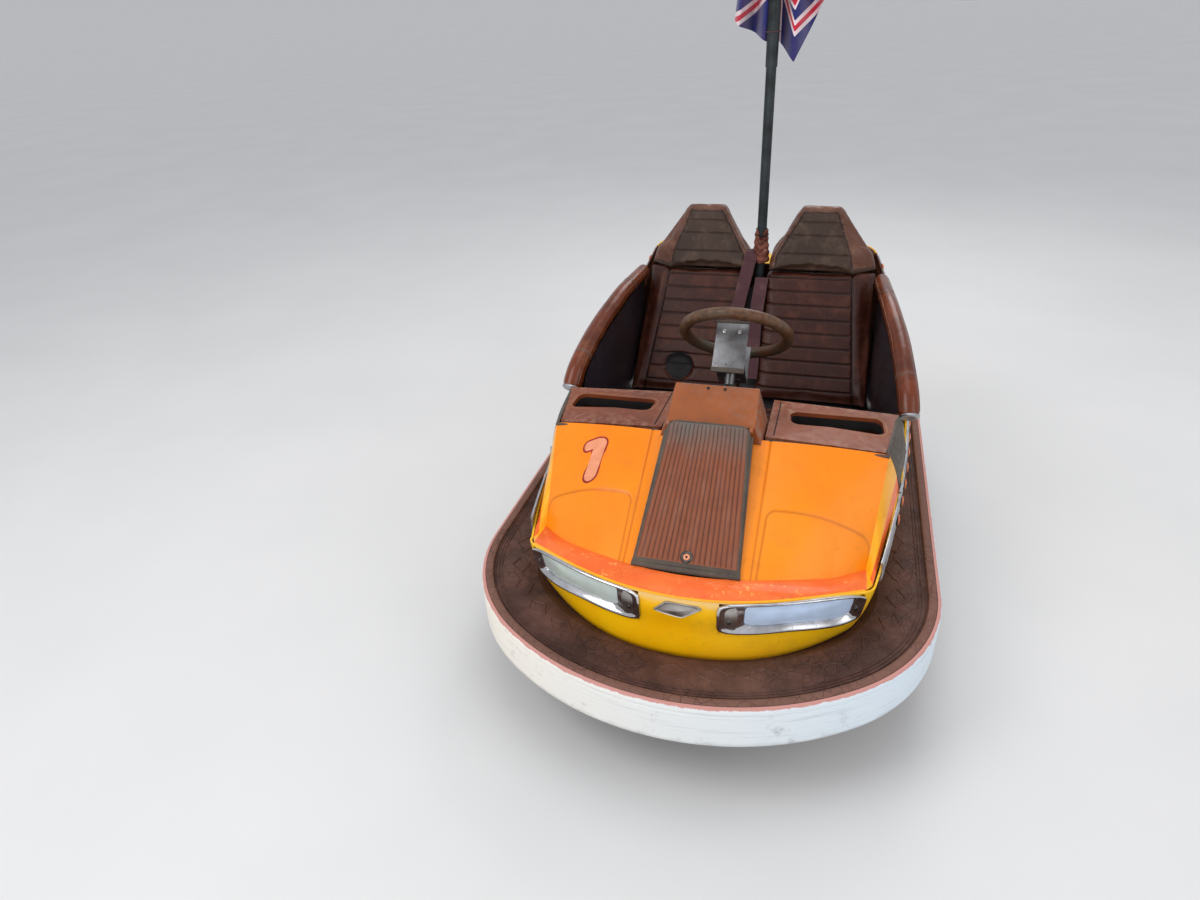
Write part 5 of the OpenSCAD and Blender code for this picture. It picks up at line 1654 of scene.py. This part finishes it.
def flag_grid(fold):
    """Points of the drooping flag: folds hang from the pole to both sides."""
    us = FLAG_US
    low = np.interp(us, [-1, -0.86, -0.1, 0.06, 0.46, 1], [1536, 1519, 1468, 1475, 1412, 1590])
    top = low + FLAG_H * (0.98 - 0.06 * np.abs(us))
    wide = np.interp(us, [-1, 0, 1], [-124, 0, 150])
    rows = []
    for v in FLAG_VS:
        wave = np.sin(us * 9.5 + 0.5 * v) * (0.55 + 0.45 * np.abs(us)) * (0.75 + 0.25 * v)
        rows.append(np.stack([wide * (0.78 + 0.22 * v), POLE_Y + 31 + fold * wave + 6 * np.abs(us) ** 2,
                              top + (low - top) * v], 1))
    return np.array(rows)


def grid_area(g):
    """Area of the surface through a grid of points."""
    a = np.cross(g[1:, :-1] - g[:-1, :-1], g[:-1, 1:] - g[:-1, :-1])
    b = np.cross(g[1:, 1:] - g[1:, :-1], g[1:, 1:] - g[:-1, 1:])
    return (np.linalg.norm(a, axis=2).sum() + np.linalg.norm(b, axis=2).sum()) / 2


def build_flag():
    """Flag, folded until its surface is that of the flat cloth, and its ties."""
    lo, hi = 0.0, 60.0
    for _ in range(24):
        mid = (lo + hi) / 2
        if grid_area(flag_grid(mid)) < FLAG_W * FLAG_H:
            lo = mid
        else:
            hi = mid
    g = flag_grid(lo)
    mesh = bpy.data.meshes.new("flag_sheet")
    mesh.from_pydata([tuple(c * MM for c in p) for p in g.reshape(-1, 3)], [], grid_faces(*g.shape[:2]))
    flat = np.array([[u, (0.5 - v) * 2 * 0.8, 0] for v in FLAG_VS for u in FLAG_US], np.float32)
    mesh.attributes.new("flat", "FLOAT_VECTOR", "POINT").data.foreach_set("vector", flat.ravel())
    smooth_shading(mesh)
    obj = dress(link_object("flag_sheet", mesh), ["flag_cloth"], "chassis", ["flag"], "flag_cloth")
    ties = [ring_tube(circle([0, POLE_Y, z], 21.5, 32), 2, 8) for z in (1500, 1640, 1780)]
    mesh_piece("flag_ties", joined(ties), "belt_web", slot="flag_cloth")


# Steering wheel: the middle of its ring, its lean, and the ring's radii
WHEEL = np.array([0, 60, 732.0])
WHEEL_LEAN = math.radians(44)
RIM_R, RIM_TUBE = 152, 17


def build_wheel():
    """Worn ring and bracket of the steering wheel, with its screws."""
    flat = np.array([1.0, 0, 0])
    down = np.array([0, -math.cos(WHEEL_LEAN), math.sin(WHEEL_LEAN)])
    axis = np.array([0, math.sin(WHEEL_LEAN), math.cos(WHEEL_LEAN)])

    def place(part):
        v, f = part
        return WHEEL + v @ np.array([flat, down, axis]), f

    soften("steering_bracket", "wheel_bracket", 2, "bracket_steel", 3, 30)
    rim = ring_tube(circle(WHEEL + axis * 6, RIM_R, 120, flat, down), RIM_TUBE, 28)
    mesh_piece("steering_rim", rim, "ring_worn", "steering", slot="ring_worn", stands_for=["steering_ring"],
               sharp=70)
    mesh_piece("bracket_plate", place(block((-46, 84, -142), (46, 89, 6), 2.4)), "bracket_steel", "steering",
               slot="bracket_steel")
    ends = [block((-47, 83, 2), (47, 90.5, 10), 2.2), block((-47, 83, -147), (47, 90.5, -132), 2.2)]
    mesh_piece("bracket_ends", place(joined(ends)), "trim_grey", "steering", slot="bracket_steel")
    screws = [disc(WHEEL + flat * x + down * s - axis * 24, down * np.sign(s), 6, 3, 14, 0.3)
              for s in (-84.2, 89.2) for x in (-22, 22)]
    mesh_piece("wheel_screws", joined(screws), "plate_steel", "steering", slot="bracket_steel")


# Camera and stage
def build_camera():
    """Camera solved from the photo: place in metres, yaw, pitch and roll in radians."""
    place = (0.264976, -2.119162, 1.620005)
    yaw, pitch, roll = 0.313710, 0.526914, -0.0547672
    right = np.array([math.cos(yaw), math.sin(yaw), 0])
    ahead = np.array([-math.sin(yaw) * math.cos(pitch), math.cos(yaw) * math.cos(pitch), -math.sin(pitch)])
    up = np.cross(right, ahead)
    c, s = math.cos(roll), math.sin(roll)
    axes = (c * right + s * up, c * up - s * right, -ahead)
    data = bpy.data.cameras.new("camera")
    cam = link_object("camera", data)
    cam.matrix_world = Matrix([[*(axis[i] for axis in axes), place[i]] for i in range(3)] + [[0, 0, 0, 1]])
    data.sensor_width = 36
    data.sensor_fit = "HORIZONTAL"
    data.lens = 23.338
    data.clip_end = 60
    bpy.context.scene.camera = cam


# Name, place, aim, size and power of the area lamps
LAMPS = [("key", (-2.6, -2.2, 3.8), (0, -0.2, 0.4), 2.4, 54),
         ("fill", (3.0, -1.6, 2.6), (0, 0, 0.4), 2.6, 22),
         ("back", (0.6, 3.2, 3.6), (0, 0.2, 0.6), 2.2, 40),
         ("top", (0, 0, 5.2), (0, 0, 0), 3.0, 26),
         ("front", (-0.6, -4.2, 1.5), (0, -0.6, 0.4), 2.6, 30)]


def build_world():
    """Soft light all round, seen by the camera in the floor's tone."""
    world = bpy.data.worlds.new("studio")
    bpy.context.scene.world = world
    world.use_nodes = True
    tree = world.node_tree
    path, shade = tree.nodes.new("ShaderNodeLightPath"), tree.nodes.new("ShaderNodeMix")
    shade.data_type = "RGBA"
    shade.inputs[6].default_value = (0.93, 0.95, 1.0, 1)
    shade.inputs[7].default_value = (0.717, 0.731, 0.760, 1)
    background = tree.nodes["Background"]
    tree.links.new(path.outputs["Is Camera Ray"], shade.inputs[0])
    tree.links.new(shade.outputs[2], background.inputs[0])
    background.inputs[1].default_value = 0.66


def build_stage():
    """Pale floor, world and lamps."""
    g = Graph("floor_pale")
    g.done(g.mix(g.patches(0.3, 0.7, 1.3, 3), (0.72, 0.72, 0.71), (0.76, 0.755, 0.745)), 0.6)
    bpy.ops.mesh.primitive_plane_add(size=400, location=(0, 0, 0))
    floor = bpy.context.object
    floor.name = "stage_floor"
    floor.data.materials.append(MAT["floor_pale"])
    build_world()
    for name, place, aim, size, watts in LAMPS:
        data = bpy.data.lights.new(name, "AREA")
        data.shape = "DISK"
        data.size = size
        data.energy = watts
        obj = link_object(name, data)
        obj.location = place
        obj.rotation_mode = "QUATERNION"
        obj.rotation_quaternion = (Vector(aim) - Vector(place)).to_track_quat("-Z", "Y")
    bpy.context.scene.view_settings.view_transform = "Standard"
    bpy.context.scene.view_settings.look = "None"


def dress_cad_nodes():
    """Gives every CAD node its slot's material."""
    for name, obj in NODES.items():
        obj.data.materials.clear()
        obj.data.materials.append(MAT[SLOT[name]])


make_materials()
dress_cad_nodes()
build_stage()
build_camera()
build_bumper()
build_nose()
build_sides()
build_tail()
build_hood()
build_number(bpy.data.objects["hood_panel_left"])
build_hatch()
build_dash()
build_lamps()
build_rolls()
build_strips()
build_lining()
build_cushions()
build_seat_hole()
build_belts()
build_boot()
build_flag()
build_wheel()
build_badge()
